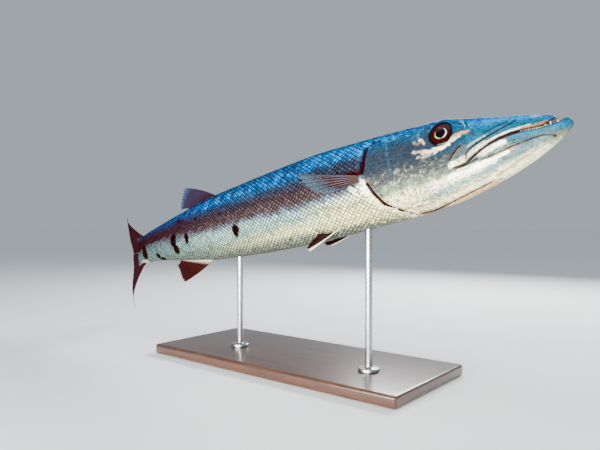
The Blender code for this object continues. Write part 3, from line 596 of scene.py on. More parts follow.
FACE_STROKES = (
    (((190, 46), (193, 36), (193, 26), (188, 18)), 4, 3, 0, 0.55, (32, 52, 68)),
    (((202, 49), (204, 38), (202, 30)), 1.5, 1.8, 0.8, 0.6, (44, 128, 150)),
    (((184, 1), (172, 3), (160, 6.5), (150, 11.5), (138, 15.5)), 3.2, 2.2, 0.8, 0.85, (20, 54, 80)),
    (((197, 7.6), (180, 6.8), (169, 8.4), (160, 12.2), (151, 17.6), (143, 20.6)),
     3.5, 1.6, 2.1, 0.97, (255, 236, 186)),
    (((213, 13.5), (206, 11), (197, 9)), 1.8, 1.4, 1.4, 0.75, (226, 208, 168)),
    (((207, 3), (198, 1), (188, 2)), 1.6, 1.6, 1.6, 0.6, (226, 214, 180)),
    (((149, 21), (140, 23.5), (130, 22)), 2.4, 1.6, 0.8, 0.85, (218, 150, 90)),
    (((202, 30), (197.5, 26.5), (195, 23)), 1.9, 1.4, 1.8, 0.85, (250, 222, 150)),
    (((211, 28.5), (207, 25.5), (203, 25)), 2.1, 1.8, 1.8, 0.6, (176, 140, 104)),
    (((141.5, 41.6), (137.5, 41.4)), 1.1, 0.8, 0.3, 0.8, (222, 146, 84)),
    (((257, 44), (256, 20), (254, 0), (256, -12)), 1.6, 2, 1.5, 0.28, (44, 108, 140)),
    (((128, 20), (122, 17)), 3, 2, 0.8, 0.6, (60, 48, 62)),
    (((158, -12), (150, -4), (138, 2)), 4, 3, 0.8, 0.5, (100, 96, 84)),
    (((161, -20.5), (151, -19.5), (142, -17)), 4.6, 2.2, 1, 0.95, (255, 252, 210)),
    (((137, -15), (130, -10.5), (121, -6), (108, -1.5)), 3.3, 1.8, 0.5, 0.95, (255, 252, 214)),
    (((133, 0), (122, 5), (108, 9)), 1.3, 1.2, 0.4, 0.65, (236, 226, 170)),
    (((106, -1), (90, 3.6), (75, 6.2), (60, 7.2), (48, 7.6)), 1.5, 0.9, 0.3, 0.95, (255, 248, 206)),
    (((60, 5), (50, 5.2), (38, 5.2), (28, 7)), 2.2, 1.2, 0.6, 0.8, (156, 104, 62)),
    (((72, -1.4), (50, -2), (30, -2.2), (14, -2.5), (4, -3.5)), 2.6, 2, 0.8, 0.9, (5, 96, 138)),
    (((104, 32), (72, 27), (50, 22), (32, 17)), 4.4, 3.4, 1.6, 0.8, (4, 128, 196)),
    # A painted highlight on the snout's ridge.
    (((46, 20.8), (35, 17.8)), 0.9, 0.9, 0.3, 0.75, (214, 246, 246)),
    (((64, 14), (46, 12), (32, 12.5)), 3, 3, 1, 0.55, (8, 72, 92)),
    (((78, -6), (50, -6.5), (24, -6)), 3, 2.5, 0.8, 0.7, (44, 92, 100)),
    (((119, -15), (101, -10.2), (84, -7)), 4, 2.2, 1, 0.92, (255, 252, 214)),
    # A dark mauve line in the jaw's fold: dark paint and painted shadow.
    (((119, -23.4), (98, -20), (82, -16.8), (67, -14.2), (50, -11.7), (35, -10.8), (24, -12.8)),
     1.2, 1, 0.3, 0.85, (64, 38, 44)),
    (((108, -36), (84, -31), (64, -25), (46, -18.5), (30, -14.5)), 4.6, 3.5, 1.2, 0.8, (88, 122, 120)),
    (((97, -19.5), (83, -20.5), (72, -18.5)), 1.8, 1.5, 0.8, 0.7, (214, 160, 104)),
    (((152, -31.5), (125, -28), (100, -25), (82, -22)), 2.2, 1.6, 0.8, 0.95, (255, 252, 218)),
    (((204, -50), (182, -43.5), (162, -37), (140, -35.5), (118, -31), (100, -27.5)),
     3.8, 2.6, 1.4, 0.9, (255, 255, 236)),
    (((206, -60), (188, -56), (170, -52.5), (150, -47.5), (128, -43), (106, -40)),
     4, 3.2, 1.6, 0.9, (112, 146, 140)),
    (((142, -56), (112, -49), (84, -41), (60, -33), (36, -25)), 3.4, 2.5, 1.2, 0.9, (255, 250, 206)),
    (((262, -62), (240, -66.4), (215, -66.6), (190, -62.8), (165, -58.4), (140, -52.6), (112, -46.4)),
     0.9, 1.2, 0.7, 0.6, (150, 100, 56)),
    (((250, -57), (226, -60.5), (200, -59.5), (182, -55)), 0.8, 1, 0.7, 0.4, (150, 112, 70)),
    (((104, -49), (58, -31), (40, -24.5), (24, -18), (8, -11)), 1.2, 1, 0.5, 0.6, (140, 88, 50)),
    # The nostrils' pits are painted dark as painted shade, with a pale painted highlight on the front one's rear rim.
    (((137.8, 42), (135.4, 36), (133.8, 32)), 0.9, 0.7, 0.2, 0.5, (150, 214, 226)),
    (((135.4, 43), (132.8, 38), (131.2, 31)), 1.2, 0.8, 0.2, 0.9, (4, 12, 30)),
    (((142.5, 40.5), (140.2, 37.5)), 0.9, 0.7, 0.2, 0.7, (8, 22, 38)),
    (((121, 40), (128, 33), (125, 27)), 1.6, 1.4, 0.6, 0.5, (30, 142, 180)),
    (((153, 51), (146, 47), (140, 45)), 1.8, 1.4, 0.6, 0.6, (34, 150, 186)),
    (((270, 55), (262, 51), (252, 54), (246, 46)), 3, 2.5, 1.6, 0.8, (20, 128, 186)),
    # Dark paint and painted shadow in the gap at the gill cover's upper end.
    (((283, 49), (277, 48.5)), 3, 1.6, 0.6, 0.8, (28, 18, 40)),
    (((286, 51.5), (280, 54), (274, 53), (269, 49)), 1.7, 0.9, 0.5, 0.9, (26, 4, 14)),
)
# The head's coats; their two paints are the snout's and the cheek's, which
# meet between these two places.
SNOUT_END = (112, 175)
HEAD_COATS = (
    (((0, -14), (50, -26), (100, -37), (150, -34), (200, -40), (250, -41), (300, -46)),
     7, 3, (98, 122, 116), (96, 112, 92)),
    (((0, -10), (50, -18), (100, -12), (150, -22), (200, -27), (250, -27), (300, -29)),
     6, 3, (66, 88, 92), (58, 66, 66)),
    (((0, -6), (50, -10), (90, -4), (140, -3), (200, -10), (250, -8), (300, -8)),
     5, 3, (34, 84, 104), (42, 48, 55)),
    (((0, 2), (40, 8), (90, 12), (140, 8), (200, 4), (260, 2), (300, 2)), 7, 3, (10, 80, 108), (36, 45, 56)),
    (((0, 6), (40, 20), (90, 28), (140, 30), (200, 31), (260, 31), (300, 30)),
     7, 4, (1, 84, 144), (27, 53, 70)),
    (((0, 9), (40, 21), (80, 31), (130, 43), (180, 48), (240, 45), (300, 43)),
     5, 3, (0, 72, 158), (8, 64, 122)),
)


def head_paint(t, z):
    coats = [(*coat, *SNOUT_END) for coat in HEAD_COATS]
    paint = lay_coats(np.tile(tone(255, 250, 196), (len(t), 1)), t, z, coats)
    paint = lay_strokes(paint, t, z, FACE_STROKES)
    under = (1 - above(t, z, THROAT_LINE, 0.8)) * (t < 300) * smoothstep(t, 88, 108)
    return coat_over(paint, under, tone(212, 176, 130))


def crease_shade(t, z):
    """Where shadow and dark paint lie in the head's folds, from 0 to 1."""
    dark = np.zeros(t.shape)
    for line, width, strength, taper in ((MAXILLA_TOP, 1.3, 1, 0.10), (SNOUT_FOLD, 0.9, 0.75, 0.2),
                                         (JAW_FOLD, 0.8, 0.55, 0.1), (JAW_CORNER, 1.1, 0.95, 0.15),
                                         (CHEEK_CREASE, 1.4, 1, 0.12), (UPPER_LIP, 1.2, 1, 0.03),
                                         (LOWER_LIP, 0.7, 0.7, 0.03), (THROAT_LINE, 1.1, 0.95, 0.1),
                                         (PREOPERCLE, 0.8, 0.05, 0.2), (MAXILLA_END, 0.6, 0.5, 0.2)):
        distance, side, along = near_line(t, z, line)
        dark = np.maximum(dark, strength * fading(along, taper) * np.exp(-(distance / width) ** 2))
    pore = np.exp(-(np.hypot(t - JAW_PORE[0], z - JAW_PORE[1]) / 1.9) ** 2)
    return np.maximum(dark, pore)


def lay_of(t, z):
    """The crease shade with the painted shadow in the gill gap, and how thick the cream and the cyan flecks lie."""
    behind, gap = t - gill_edge_at(z), gill_gap_at(z)
    # Dark paint and painted shadow in the gap behind the gill cover's free edge.
    gill_gap_shade = smoothstep(behind, -0.8, 0.2) * falling(behind, gap + 0.4, gap + 1.4)
    gill_gap_shade = gill_gap_shade * smoothstep(gap, 1.5, 2.8)
    on_head = falling(behind, -2, 0)
    cream = (0.35 * smoothstep(t, 30, 60) + 0.65 * smoothstep(t, 150, 200)) * falling(z, -22, 4) * on_head
    begins, full = (np.interp(t, (0, 40, 90, 150, 300), heights)
                    for heights in ((4, 12, 16, 28, 34), (10, 22, 28, 44, 48)))
    cyan = smoothstep(z, begins, full)
    return np.stack((np.maximum(crease_shade(t, z), gill_gap_shade), cream, cyan), 1)


def paint_at(t, z, crease):
    """The paint's colour with its creases' dark paint and painted shadow, in scene values, at places in millimetres.
    """
    behind = smoothstep(t - gill_edge_at(z), -1, 0)
    behind = np.where(z > NAPE_HEIGHT, smoothstep(t, 215, 285), behind)[:, None]
    bare = (1 - 0.62 * smoothstep(z, -6, 4))[:, None]
    both = head_paint(t, z) * (1 - behind) + body_marks(body_paint(t, z) * bare, t, z) * behind
    return scene_values(coat_over(both, crease, tone(30, 3, 5)))


markings, source, target = new_group("painted skin grain", (("Grain", "Float", 1),),
                                     (("Color", "Color"), ("Roughness", "Float"), ("Height", "Float"),
                                      ("Pearl", "Float")))
tree = markings
here, paint = attribute(tree, "fish"), attribute(tree, "paint")
shadow, cream, cyan = parts_of(tree, attribute(tree, "lay"))
fine = noise(tree, 480, 3, here)
streaks = noise(tree, 1, 4, stretched(tree, here, (190, 220, 330)), Distortion=0.8)
veins = noise(tree, 150, 4, here, Roughness=0.68, Distortion=0.5)
hue = noise(tree, 300, 2, here)
strength = sum_of(tree, "ADD", times(tree, fine, 1.1), times(tree, streaks, 1.1))
strength = sum_of(tree, "MULTIPLY_ADD", sum_of(tree, "SUBTRACT", strength, 1.1), source["Grain"], 1)
flat = scaled_by(tree, paint, strength)
painted = blend(tree, between(tree, hue, 0.45, 0.3), flat, (0.70, 1.02, 1.12, 1), "MULTIPLY")
painted = blend(tree, between(tree, hue, 0.55, 0.7), painted, (1.16, 0.92, 1, 1), "MULTIPLY")
# Cream and cyan flecks, and the dark gaps between them.
for low, high, amount, where, shade in ((0.50, 0.70, 0.42, cream, (255, 250, 206)),
                                        (0.48, 0.37, 0.6, cream, (70, 62, 58)),
                                        (0.52, 0.64, 0.7, cyan, (10, 138, 190)),
                                        (0.46, 0.36, 0.6, cyan, (12, 46, 82))):
    spread = times(tree, between(tree, veins, low, high), where)
    painted = blend(tree, times(tree, spread, amount), painted, colour(*shade))
pale = between(tree, parts_of(tree, paint)[1], 0.22, 0.55)
specks = times(tree, between(tree, hue, 0.52, 0.36), times(tree, pale, cream))
painted = blend(tree, times(tree, specks, 0.75), painted, colour(104, 76, 46))
plug(tree, target, {"Color": blend(tree, shadow, painted, flat), "Pearl": times(tree, pale, 0.3),
                    "Roughness": sum_of(tree, "MULTIPLY_ADD", streaks, 0.34, 0.12),
                    "Height": sum_of(tree, "ADD", times(tree, veins, 0.6), times(tree, fine, 0.4))})

skin_paint, tree, shader = new_material("painted skin")
pattern = place_group(tree, markings, {"Grain": 1.7})
plug(tree, shader, {"Base Color": pattern["Color"], "Roughness": pattern["Roughness"],
                    "Metallic": pattern["Pearl"], "Normal": bumps(tree, pattern["Height"], 0.5, 0.0008),
                    "Specular IOR Level": 0, "Coat Weight": 0.08, "Coat Roughness": 0.12})

lining_paint, tree, shader = new_material("mouth lining")
flesh = ramp(tree, noise(tree, 220, 3), ((0.3, (40, 4, 6)), (0.7, (96, 20, 18))))
plug(tree, shader, {"Base Color": flesh, "Roughness": 0.4})

skin.data.materials.append(skin_paint)
wedge.data.materials.append(lining_paint)
opening = skin.modifiers.new("mouth", "BOOLEAN")
opening.object = wedge
opening.operation = "DIFFERENCE"
opening.solver = "MANIFOLD"
opening.material_mode = "TRANSFER"
apply_modifiers(skin)
bpy.data.objects.remove(wedge)

places = np.empty(len(skin.data.vertices) * 3, np.float32)
skin.data.vertices.foreach_get("co", places)
places = places.reshape(-1, 3).astype(float)
lay = lay_of(places[:, 0] / MM, places[:, 2] / MM)
store(skin, "fish", places)
store(skin, "lay", lay)
store(skin, "paint", paint_at(places[:, 0] / MM, places[:, 2] / MM, lay[:, 0]))
skin.data.vertices.foreach_set("co", pose(places).astype(np.float32).ravel())
skin.data.update()
skin.data.shade_smooth()
skin.data.set_sharp_from_angle(angle=math.radians(50))
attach(skin, "root")
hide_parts("head", "lower_jaw", "throat", "gill_cover_right", "gill_cover_left", "cheek_plate_right",
            "cheek_plate_left", "maxilla_right", "maxilla_left", "torso_front", "torso_rear", "tail_stem")


# The scales of the trunk, tail and nape.
# Thin overlapping discs that lie in slanting rows, each root tucked under the
# scale ahead and each rear edge free; the rows run along the lateral line, and
# they get narrower toward the tail and end at the back's and belly's midlines.
SCALE_PITCH_FRONT, SCALE_PITCH_REAR = 4.9, 3.7
ROW_WIDTH_FRONT, ROW_WIDTH_REAR = 8.2, 4.7
LATERAL_HEIGHT_FRONT, LATERAL_HEIGHT_REAR = 12, 0
NAPE_TOP, SCALE_END = 60, 1024
ACROSS = np.array((-1, -0.72, -0.3, 0.3, 0.72, 1))
ALONG = np.array((0, 0.35, 0.65, 0.86, 1))
SCALE_MIDDLE = 2 * len(ACROSS) + 2
SCALE_UV_LENGTH, SCALE_UV_PATCH = 1250, 0.003
random_scales = np.random.default_rng(7)


def mixed(front, rear, share):
    return front + (rear - front) * share


scale_rows = []
column_t, number = NAPE_START, 0
angles = np.linspace(-math.pi / 2, math.pi / 2, 361)
while column_t < SCALE_END:
    share = smoothstep(column_t, 420, 1000)
    width = mixed(ROW_WIDTH_FRONT, ROW_WIDTH_REAR, share)
    width *= 0.72 + 0.28 * smoothstep(column_t, NAPE_START, 300)
    pitch = mixed(SCALE_PITCH_FRONT, SCALE_PITCH_REAR, share)
    across, heights = section(np.full(angles.shape, column_t), angles)
    length = np.concatenate(([0], np.cumsum(np.hypot(np.diff(across), np.diff(heights)))))
    lateral = mixed(LATERAL_HEIGHT_FRONT, LATERAL_HEIGHT_REAR, smoothstep(column_t, 320, 760))
    spots = np.interp(lateral, heights, length) + width * (np.arange(-60, 61) + number % 2 / 2)
    spots = spots[(spots > 0.3 * width) & (spots < length[-1] - 0.2 * width)]
    found = np.interp(spots, length, angles)
    for angle, height in zip(found, np.interp(found, angles, heights)):
        begins = NAPE_START + 5.4 * (NAPE_TOP - min(height, NAPE_TOP))
        if height < NAPE_HEIGHT:
            begins = gill_edge_at(height) + gill_gap_at(height) + 3.6
        if column_t >= begins:
            scale_rows.append((column_t, angle, width, pitch * 2))
    column_t += pitch
    number += 1
scale_rows = np.array(scale_rows)


def make_scales(side, chosen, name, paint):
    """One joined mesh of the chosen scales on one side (-1 right, 1 left)."""
    count = len(chosen)
    t0, a0, wide, long = chosen.T
    t0 = t0 + random_scales.uniform(-0.35, 0.35, count)
    wide = (wide * random_scales.uniform(0.97, 1.06, count))[:, None]
    long = (long * random_scales.uniform(0.98, 1.05, count))[:, None]
    tint = random_scales.uniform(0, 1, count)
    lift = random_scales.uniform(0.85, 1.2, count)[:, None]
    u, v = (way.ravel()[None, :] for way in np.meshgrid(ACROSS, ALONG))
    nudge = 0.004
    (y1, z1), (y2, z2) = (section(t0, a0 + way) for way in (-nudge, nudge))
    turn = (2 * nudge / np.hypot(y2 - y1, z2 - z1))[:, None]
    t = t0[:, None] + (v * 1.42 * np.sqrt(1 - 0.62 * u * u) - 0.42) * long
    a = a0[:, None] + u * (0.60 + 0.06 * np.sin(math.pi * v)) * wide * turn
    height = (-0.42 + 0.98 * v ** 0.85 - 0.20 * u * u) * lift
    # The free edge turns down in a short skirt.
    last = np.arange(-len(ACROSS), 0)
    t, a, height, u, v = (np.concatenate((values, values[:, last] + step), 1)
                          for values, step in ((t, -0.15), (a, 0), (height, -0.75), (u, 0), (v, 0.02)))

    def on_section(dt, da):
        return section(np.clip(t + dt, SKIN_START, SKIN_END), a + da)

    def slope(dt, da):
        (y1, z1), (y2, z2) = on_section(-dt, -da), on_section(dt, da)
        return np.stack((np.full_like(t, 2 * dt), y2 - y1, z2 - z1), -1)

    y, z = on_section(0, 0)
    normal = unit(np.cross(slope(1, 0), slope(0, 0.01)))
    normal *= np.where((normal[..., 1] * y + normal[..., 2] * z) < 0, -1, 1)[..., None]
    points = np.stack((t, y, z), -1) + normal * (height - COAT_DEPTH + 0.35)[..., None]
    points[..., 1] *= side
    each = t.shape[1]
    quad = sheet_faces(np.arange(each).reshape(-1, len(ACROSS)))[:, ::-side]
    faces = (quad[None] + (np.arange(count) * each)[:, None, None]).reshape(-1, 4)
    flat = points.reshape(-1, 3) * MM
    made = mesh_object(name, pose(flat), faces)
    store(made, "fish", flat)
    centre_t = np.repeat(t0 + random_scales.normal(0, 1.6, count), each)
    centre_z = np.repeat(z[:, SCALE_MIDDLE] + random_scales.normal(0, 1.6, count), each)
    back = smoothstep(centre_z, 24, 34) * (0.4 + 0.6 * clusters(centre_t, centre_z))
    own_t, own_z = flat[:, 0] / MM, flat[:, 2] / MM
    nape = falling(centre_t, 230, 285)[:, None]
    coats = mixed(body_paint(centre_t, centre_z), head_paint(centre_t, centre_z), nape)
    # The first scales behind the gill opening lie in its shade.
    first = falling(own_t - gill_edge_at(own_z), 9, 16) * smoothstep(own_z, -4, 6) * (own_z < NAPE_HEIGHT)
    coats *= 1 - 0.55 * first[:, None]
    store(made, "paint", scene_values(body_marks(coats, own_t, own_z)))
    store(made, "lay", np.outer(back, (0, 0, 0.35)))
    store(made, "back", back, "FLOAT")
    store(made, "scale", np.stack(np.broadcast_arrays(u, v, tint[:, None]), -1))
    # Each scale has its own small patch of the sheet that the paint is baked on.
    uv_v = 0.5 + side * (0.02 + 0.46 * (a0 + math.pi / 2) / math.pi)
    uv = np.stack((t0[:, None] / SCALE_UV_LENGTH + (v - 0.5) * SCALE_UV_PATCH,
                   uv_v[:, None] + u / 2 * SCALE_UV_PATCH), -1).reshape(-1, 2)
    layer = made.data.uv_layers.new(name="OFBake")
    layer.data.foreach_set("uv", uv[faces.ravel()].astype(np.float32).ravel())
    finish_piece(made, paint, "body_skin")


# Each scale's own look: a darker free edge, a pearly middle, and on the back a
# few that catch the light in cyan.
scale_shade, source, target = new_group("scale edge and sheen",
                                        (("Color", "Color", (0.8, 0.8, 0.8, 1)), ("Back", "Float", 0)),
                                        (("Color", "Color"), ("Roughness", "Float")))
tree = scale_shade
across, along, tint = parts_of(tree, attribute(tree, "scale"))
rim = sum_of(tree, "MULTIPLY_ADD", times(tree, across, across), 0.30, along)
rim = between(tree, rim, 0.60, 1)
darker = blend(tree, 1, source["Color"], colour(80, 68, 66), "MULTIPLY")
edged = blend(tree, times(tree, rim, 0.85), source["Color"], darker)
tinted = scaled_by(tree, edged, sum_of(tree, "MULTIPLY_ADD", tint, 0.74, 0.76))
glint = times(tree, between(tree, tint, 0.42, 0.80), source["Back"])
glint = times(tree, glint, sum_of(tree, "SUBTRACT", 1, rim))
plug(tree, target, {"Color": blend(tree, glint, tinted, colour(2, 132, 210)),
                    "Roughness": sum_of(tree, "MULTIPLY_ADD", tint, 0.16, 0.22)})

scale_paint, tree, shader = new_material("painted scales")
pattern = place_group(tree, markings, {"Grain": 1.5})
edge_look = place_group(tree, scale_shade, {"Color": pattern["Color"],
                                            "Back": attribute(tree, "back", "Fac")})
plug(tree, shader, {"Base Color": edge_look["Color"], "Roughness": edge_look["Roughness"],
                    "Metallic": pattern["Pearl"], "Specular IOR Level": 0, "Coat Weight": 0.05, "Coat Roughness": 0.2})

for side, side_name in ((-1, "right"), (1, "left")):
    for stretch, where in (("front", scale_rows[:, 0] < 480), ("rear", scale_rows[:, 0] >= 480)):
        make_scales(side, scale_rows[where], f"scales_{side_name}_{stretch}", scale_paint)


# The fins.
# Each is a thin web stretched between soft rays that rise as ridges on both
# faces, branch toward their tips and stand a little past the web's free edge.
# The roots are fleshy and sit well inside the body.
def fin_piece(node, paint, rays, bows, thick, thin, root_thick, web, steps=34, fill=8, flutter=0,
              slot="fin_skin"):
    """A closed fin; rays are (root, tip) in millimetres of t, y, z."""
    last = len(rays) - 1
    place = np.linspace(0, last, last * fill + 1)

    def filled(values):
        values = np.broadcast_to(np.array(values, float), (last + 1, 3))
        return np.stack([np.interp(place, range(last + 1), values[:, k]) for k in range(3)], 1)

    root, tip, bow = filled([ray[0] for ray in rays]), filled([ray[1] for ray in rays]), filled(bows)
    full = np.interp(place, range(last + 1), np.broadcast_to(thick, last + 1))
    off_ray = np.abs(place - np.round(place))
    reach = 1 - (1 - web) * smoothstep(off_ray, 0.06, 0.36)
    v = np.linspace(0, 1, steps + 1)[:, None] * reach[None, :]
    a = v[..., None]
    centre = root + (tip - root) * a + bow * 4 * a * (1 - a)
    single = np.exp(-(off_ray / 0.20) ** 2)
    forked = np.exp(-((off_ray - 0.17) / 0.10) ** 2) * 0.8
    branch = smoothstep(v, 0.38, 0.70)
    ridge = single * (1 - branch) + forked * branch
    length = np.linalg.norm(tip - root, axis=1)
    joints = 1 - 0.16 * (0.5 + 0.5 * np.cos(2 * math.pi * v * length / 3.4)) * smoothstep(v, 0.25, 0.4)
    width = (thin + (full - thin) * ridge * joints) * (1 - 0.62 * v)
    width = np.maximum(width, root_thick * (1 - v * 9))
    share = np.broadcast_to(place / last, v.shape)
    normal = unit(np.cross(np.gradient(centre, axis=0), np.gradient(centre, axis=1)))
    wave = flutter * v ** 2 * np.sin(2 * math.pi * (share * 1.6 + v * 0.7))
    centre = centre + normal * wave[..., None]
    half = normal * width[..., None] / 2
    index = np.arange(v.size).reshape(v.shape)
    faces = [sheet_faces(index), sheet_faces(index)[:, ::-1] + v.size]
    for line in (index[0], index[:, -1], index[-1][::-1], index[:, 0][::-1]):
        faces.append(np.stack((line[1:], line[:-1], line[:-1] + v.size, line[1:] + v.size), 1))
    points = np.concatenate(((centre + half).reshape(-1, 3), (centre - half).reshape(-1, 3))) * MM
    made = mesh_object(node + "_piece", pose(points), np.concatenate(faces))
    looks = np.stack((ridge, v, share), -1).reshape(-1, 3)
    store(made, "ray", np.concatenate((looks, looks)))
    store(made, "fish", points)
    made.data.set_sharp_from_angle(angle=math.radians(60))
    finish_piece(made, paint, slot, node)


fin_shade, source, target = new_group("fin web and rays",
                                      (("Ray", "Color", colour(120, 84, 78)),
                                       ("Web", "Color", colour(70, 34, 36)),
                                       ("Tip", "Color", colour(50, 24, 28)),
                                       ("Root", "Color", colour(120, 110, 108)),
                                       ("Root Reach", "Float", 0.15), ("Front", "Color", colour(120, 90, 84)),
                                       ("Front Share", "Float", 0), ("Tip Reach", "Float", 0.6),
                                       ("Clear", "Float", 0)),
                                      (("Color", "Color"), ("Roughness", "Float"), ("Height", "Float"),
                                       ("Cover", "Float")))
tree = fin_shade
ridge, along, share = parts_of(tree, attribute(tree, "ray"))
mottle = noise(tree, 120, 4, attribute(tree, "fish"))
tip_part = between(tree, sum_of(tree, "MULTIPLY_ADD", mottle, 0.3, along), source["Tip Reach"], 1.1)
shade = blend(tree, tip_part, source["Web"], source["Tip"])
shade = blend(tree, times(tree, ridge, ridge), shade, source["Ray"])
shade = blend(tree, between(tree, share, source["Front Share"], 0), shade, source["Front"])
shade = blend(tree, between(tree, along, source["Root Reach"], 0), shade, source["Root"])
clear = times(tree, between(tree, along, 0.35, 0.9), source["Clear"])
clear = times(tree, clear, sum_of(tree, "SUBTRACT", 1, ridge))
plug(tree, target, {"Color": shade, "Height": mottle, "Cover": sum_of(tree, "SUBTRACT", 1, clear),
                    "Roughness": sum_of(tree, "MULTIPLY_ADD", mottle, 0.3, 0.25)})


def fin_paint(name, **shades):
    """A fin's paint from the group's values; its colours are display values."""
    made, tree, shader = new_material(name)
    feeds = {key.replace("_", " "): value for key, value in shades.items()}
    for key, value in feeds.items():
        if isinstance(value, tuple):
            feeds[key] = colour(*value)
    look = place_group(tree, fin_shade, feeds)
    plug(tree, shader, {"Base Color": look["Color"], "Roughness": look["Roughness"],
                        "Normal": bumps(tree, look["Height"], 0.25, 0.0004), "Specular IOR Level": 0,
                        "Coat Weight": 0.05, "Coat Roughness": 0.2})
    if "Clear" in shades:
        plug(tree, shader, {"Alpha": look["Cover"]})
    return made


# The second dorsal fin, over the start of the tail, half lowered.
tips = ((797, 107), (801, 104.5), (804.5, 100), (807.5, 95), (810, 89.5), (812.5, 84), (814.5, 78.5),
        (816.5, 73), (818.5, 67), (820, 61))
rays = [((rt, 0, station(rt, 1) - 5), (a, 0, b)) for rt, (a, b) in zip(np.linspace(686, 774, 10), tips)]
look = fin_paint("dorsal fin skin", Ray=(30, 5, 9), Web=(42, 34, 52), Tip=(46, 68, 96), Root=(42, 6, 9),
                 Root_Reach=0.45, Tip_Reach=0.92)
fin_piece("dorsal_fin_second", look, rays, (-3, 0, 4), 1.7, 0.7, 2.4, 0.95, flutter=0.6)

# The anal fin, under it and a little further back; pale at its front root.
tips = ((830, -102), (833, -99), (835.5, -94.5), (837.5, -90), (839, -85), (840.5, -80), (842, -75),
        (843.5, -70), (845, -65), (847, -59.5))
rays = [((rt, 0, station(rt, 2) + 5), (a, 0, b)) for rt, (a, b) in zip(np.linspace(718, 832, 10), tips)]
look = fin_paint("anal fin skin", Ray=(70, 34, 30), Web=(34, 4, 4), Tip=(32, 6, 8), Root=(230, 220, 196),
                 Root_Reach=0.26, Front=(56, 14, 12), Front_Share=0.10)
fin_piece("anal_fin", look, rays, (-2, 0, -4), 1.7, 0.7, 2.4, 0.95, flutter=0.6)

# The first dorsal fin: five spines folded back into their groove.
rays = [((rt, 0, station(rt, 1) - 3), (rt + 66, 0, station(rt + 66, 1) + 5 - 0.6 * k))
        for k, rt in enumerate(np.linspace(436, 528, 5))]
look = fin_paint("spiny fin skin", Ray=(92, 96, 110), Web=(52, 52, 66), Tip=(44, 44, 56), Root=(60, 84, 104),
                 Root_Reach=0.4)
fin_piece("dorsal_fin_first", look, rays, (-3, 0, 1.6), 2.4, 1, 2.6, 0.92, steps=26)

# The tail fin, deeply forked, its two lobes set edge to edge on the stem's end.
margin = ((1078, 0.4), (1080, 12), (1084, 23), (1092, 35), (1105, 48.5), (1121, 62.5), (1139, 77), (1158, 92),
          (1177, 108.5), (1193, 126))
look = fin_paint("tail fin skin", Ray=(56, 10, 16), Web=(40, 8, 14), Tip=(30, 8, 14), Root=(48, 14, 20),
                 Root_Reach=0.2)
for node, up, reach in (("caudal_fin_upper", 1, 1), ("caudal_fin_lower", -1, 1.03)):
    shares = np.linspace(0, 1, len(margin))
    rays = [((990 - 4 * share, 0, up * (0.2 + 30.2 * share)), (mt, 0, up * mz * reach))
            for share, (mt, mz) in zip(shares, margin)]
    bows = [(6 * share, 0, up * 5 * share ** 1.5) for share in shares]
    fin_piece(node, look, rays, bows, 1.7 * (1 + 1.1 * shares ** 4), 0.8, 10, 0.965, steps=44, fill=9,
              flutter=0.8)


def flank_at(t, z):
    """Half width of the body at a height."""
    top, bottom, half = (station(t, index) for index in (1, 2, 3))
    middle, tall = (top + bottom) / 2, (top - bottom) / 2
    power = ROUND_BACK if z > middle else ROUND_BELLY
    return half * (1 - min(abs(z - middle) / tall, 1) ** power) ** (1 / power)


def belly_at(t, y):
    """Height of the belly's surface at y from the middle."""
    top, bottom, half = (station(t, index) for index in (1, 2, 3))
    reach = min(y / half, 1)
    return (top + bottom) / 2 - (top - bottom) / 2 * (1 - reach ** ROUND_BELLY) ** (1 / ROUND_BELLY)


# The pectoral fins, swept back along the flanks and standing a little off them.
tips = ((413, 28), (411.5, 21), (406.5, 12.5), (400, 4), (392, -4), (382, -11.5), (369, -16), (355, -17.5),
        (340, -16.5))
# The rays' pale blue is painted reflection; the web's dark red is its own colour with painted shadow seen through it.
look = fin_paint("pectoral fin skin", Ray=(86, 96, 104), Web=(44, 5, 4), Tip=(58, 76, 90), Root=(70, 52, 42),
                 Root_Reach=0.34, Tip_Reach=0.62, Front=(62, 64, 72), Front_Share=0.10, Clear=0.6)
for node, side in (("pectoral_fin_right", -1), ("pectoral_fin_left", 1)):
    rays = []
    for share, (pt, pz) in zip(np.linspace(0, 1, len(tips)), tips):
        rt, rz = 304 - share, -0.5 - 9 * share
        rays.append(((rt, side * (flank_at(rt, rz) - 3), rz),
                     (pt, side * (flank_at(pt, pz) + 4 + 0.16 * (pt - rt)), pz)))
    fin_piece(node, look, rays, (0, side * 3, 0), 1.8, 0.6, 3, 0.97, flutter=1, slot="paired_fin_skin")

# The pelvic fins: a pale spine and five rays each, under the belly.
look = fin_paint("pelvic fin skin", Ray=(44, 12, 10), Web=(28, 4, 4), Tip=(22, 4, 6), Root=(200, 170, 130),
                 Root_Reach=0.4, Front=(255, 252, 222), Front_Share=0.28)
right_tips = ((435.5, 38, -100), (441.5, 39, -97.5), (440, 40, -93.5), (434.5, 41, -89), (424, 41, -82),
              (412.5, 40, -74))
left_tips = ((442, 38, -87), (450, 38, -86.5), (455, 36, -84.5), (456.5, 33, -81), (451, 28.5, -79.5),
             (440, 24, -80))
for node, side, tips in (("pelvic_fin_right", -1, right_tips), ("pelvic_fin_left", 1, left_tips)):
    rays = []
    for share, (pt, py, pz) in zip(np.linspace(0, 1, len(tips)), tips):
        rt, ry = 366 + 9 * share, 27 - 9 * share
        rays.append(((rt, side * ry, belly_at(rt, ry) + 3.5), (pt, side * py, pz)))
    fin_piece(node, look, rays, (0, side * 2, -2), 1.7, 0.7, 2.6, 0.96, steps=26, slot="paired_fin_skin")


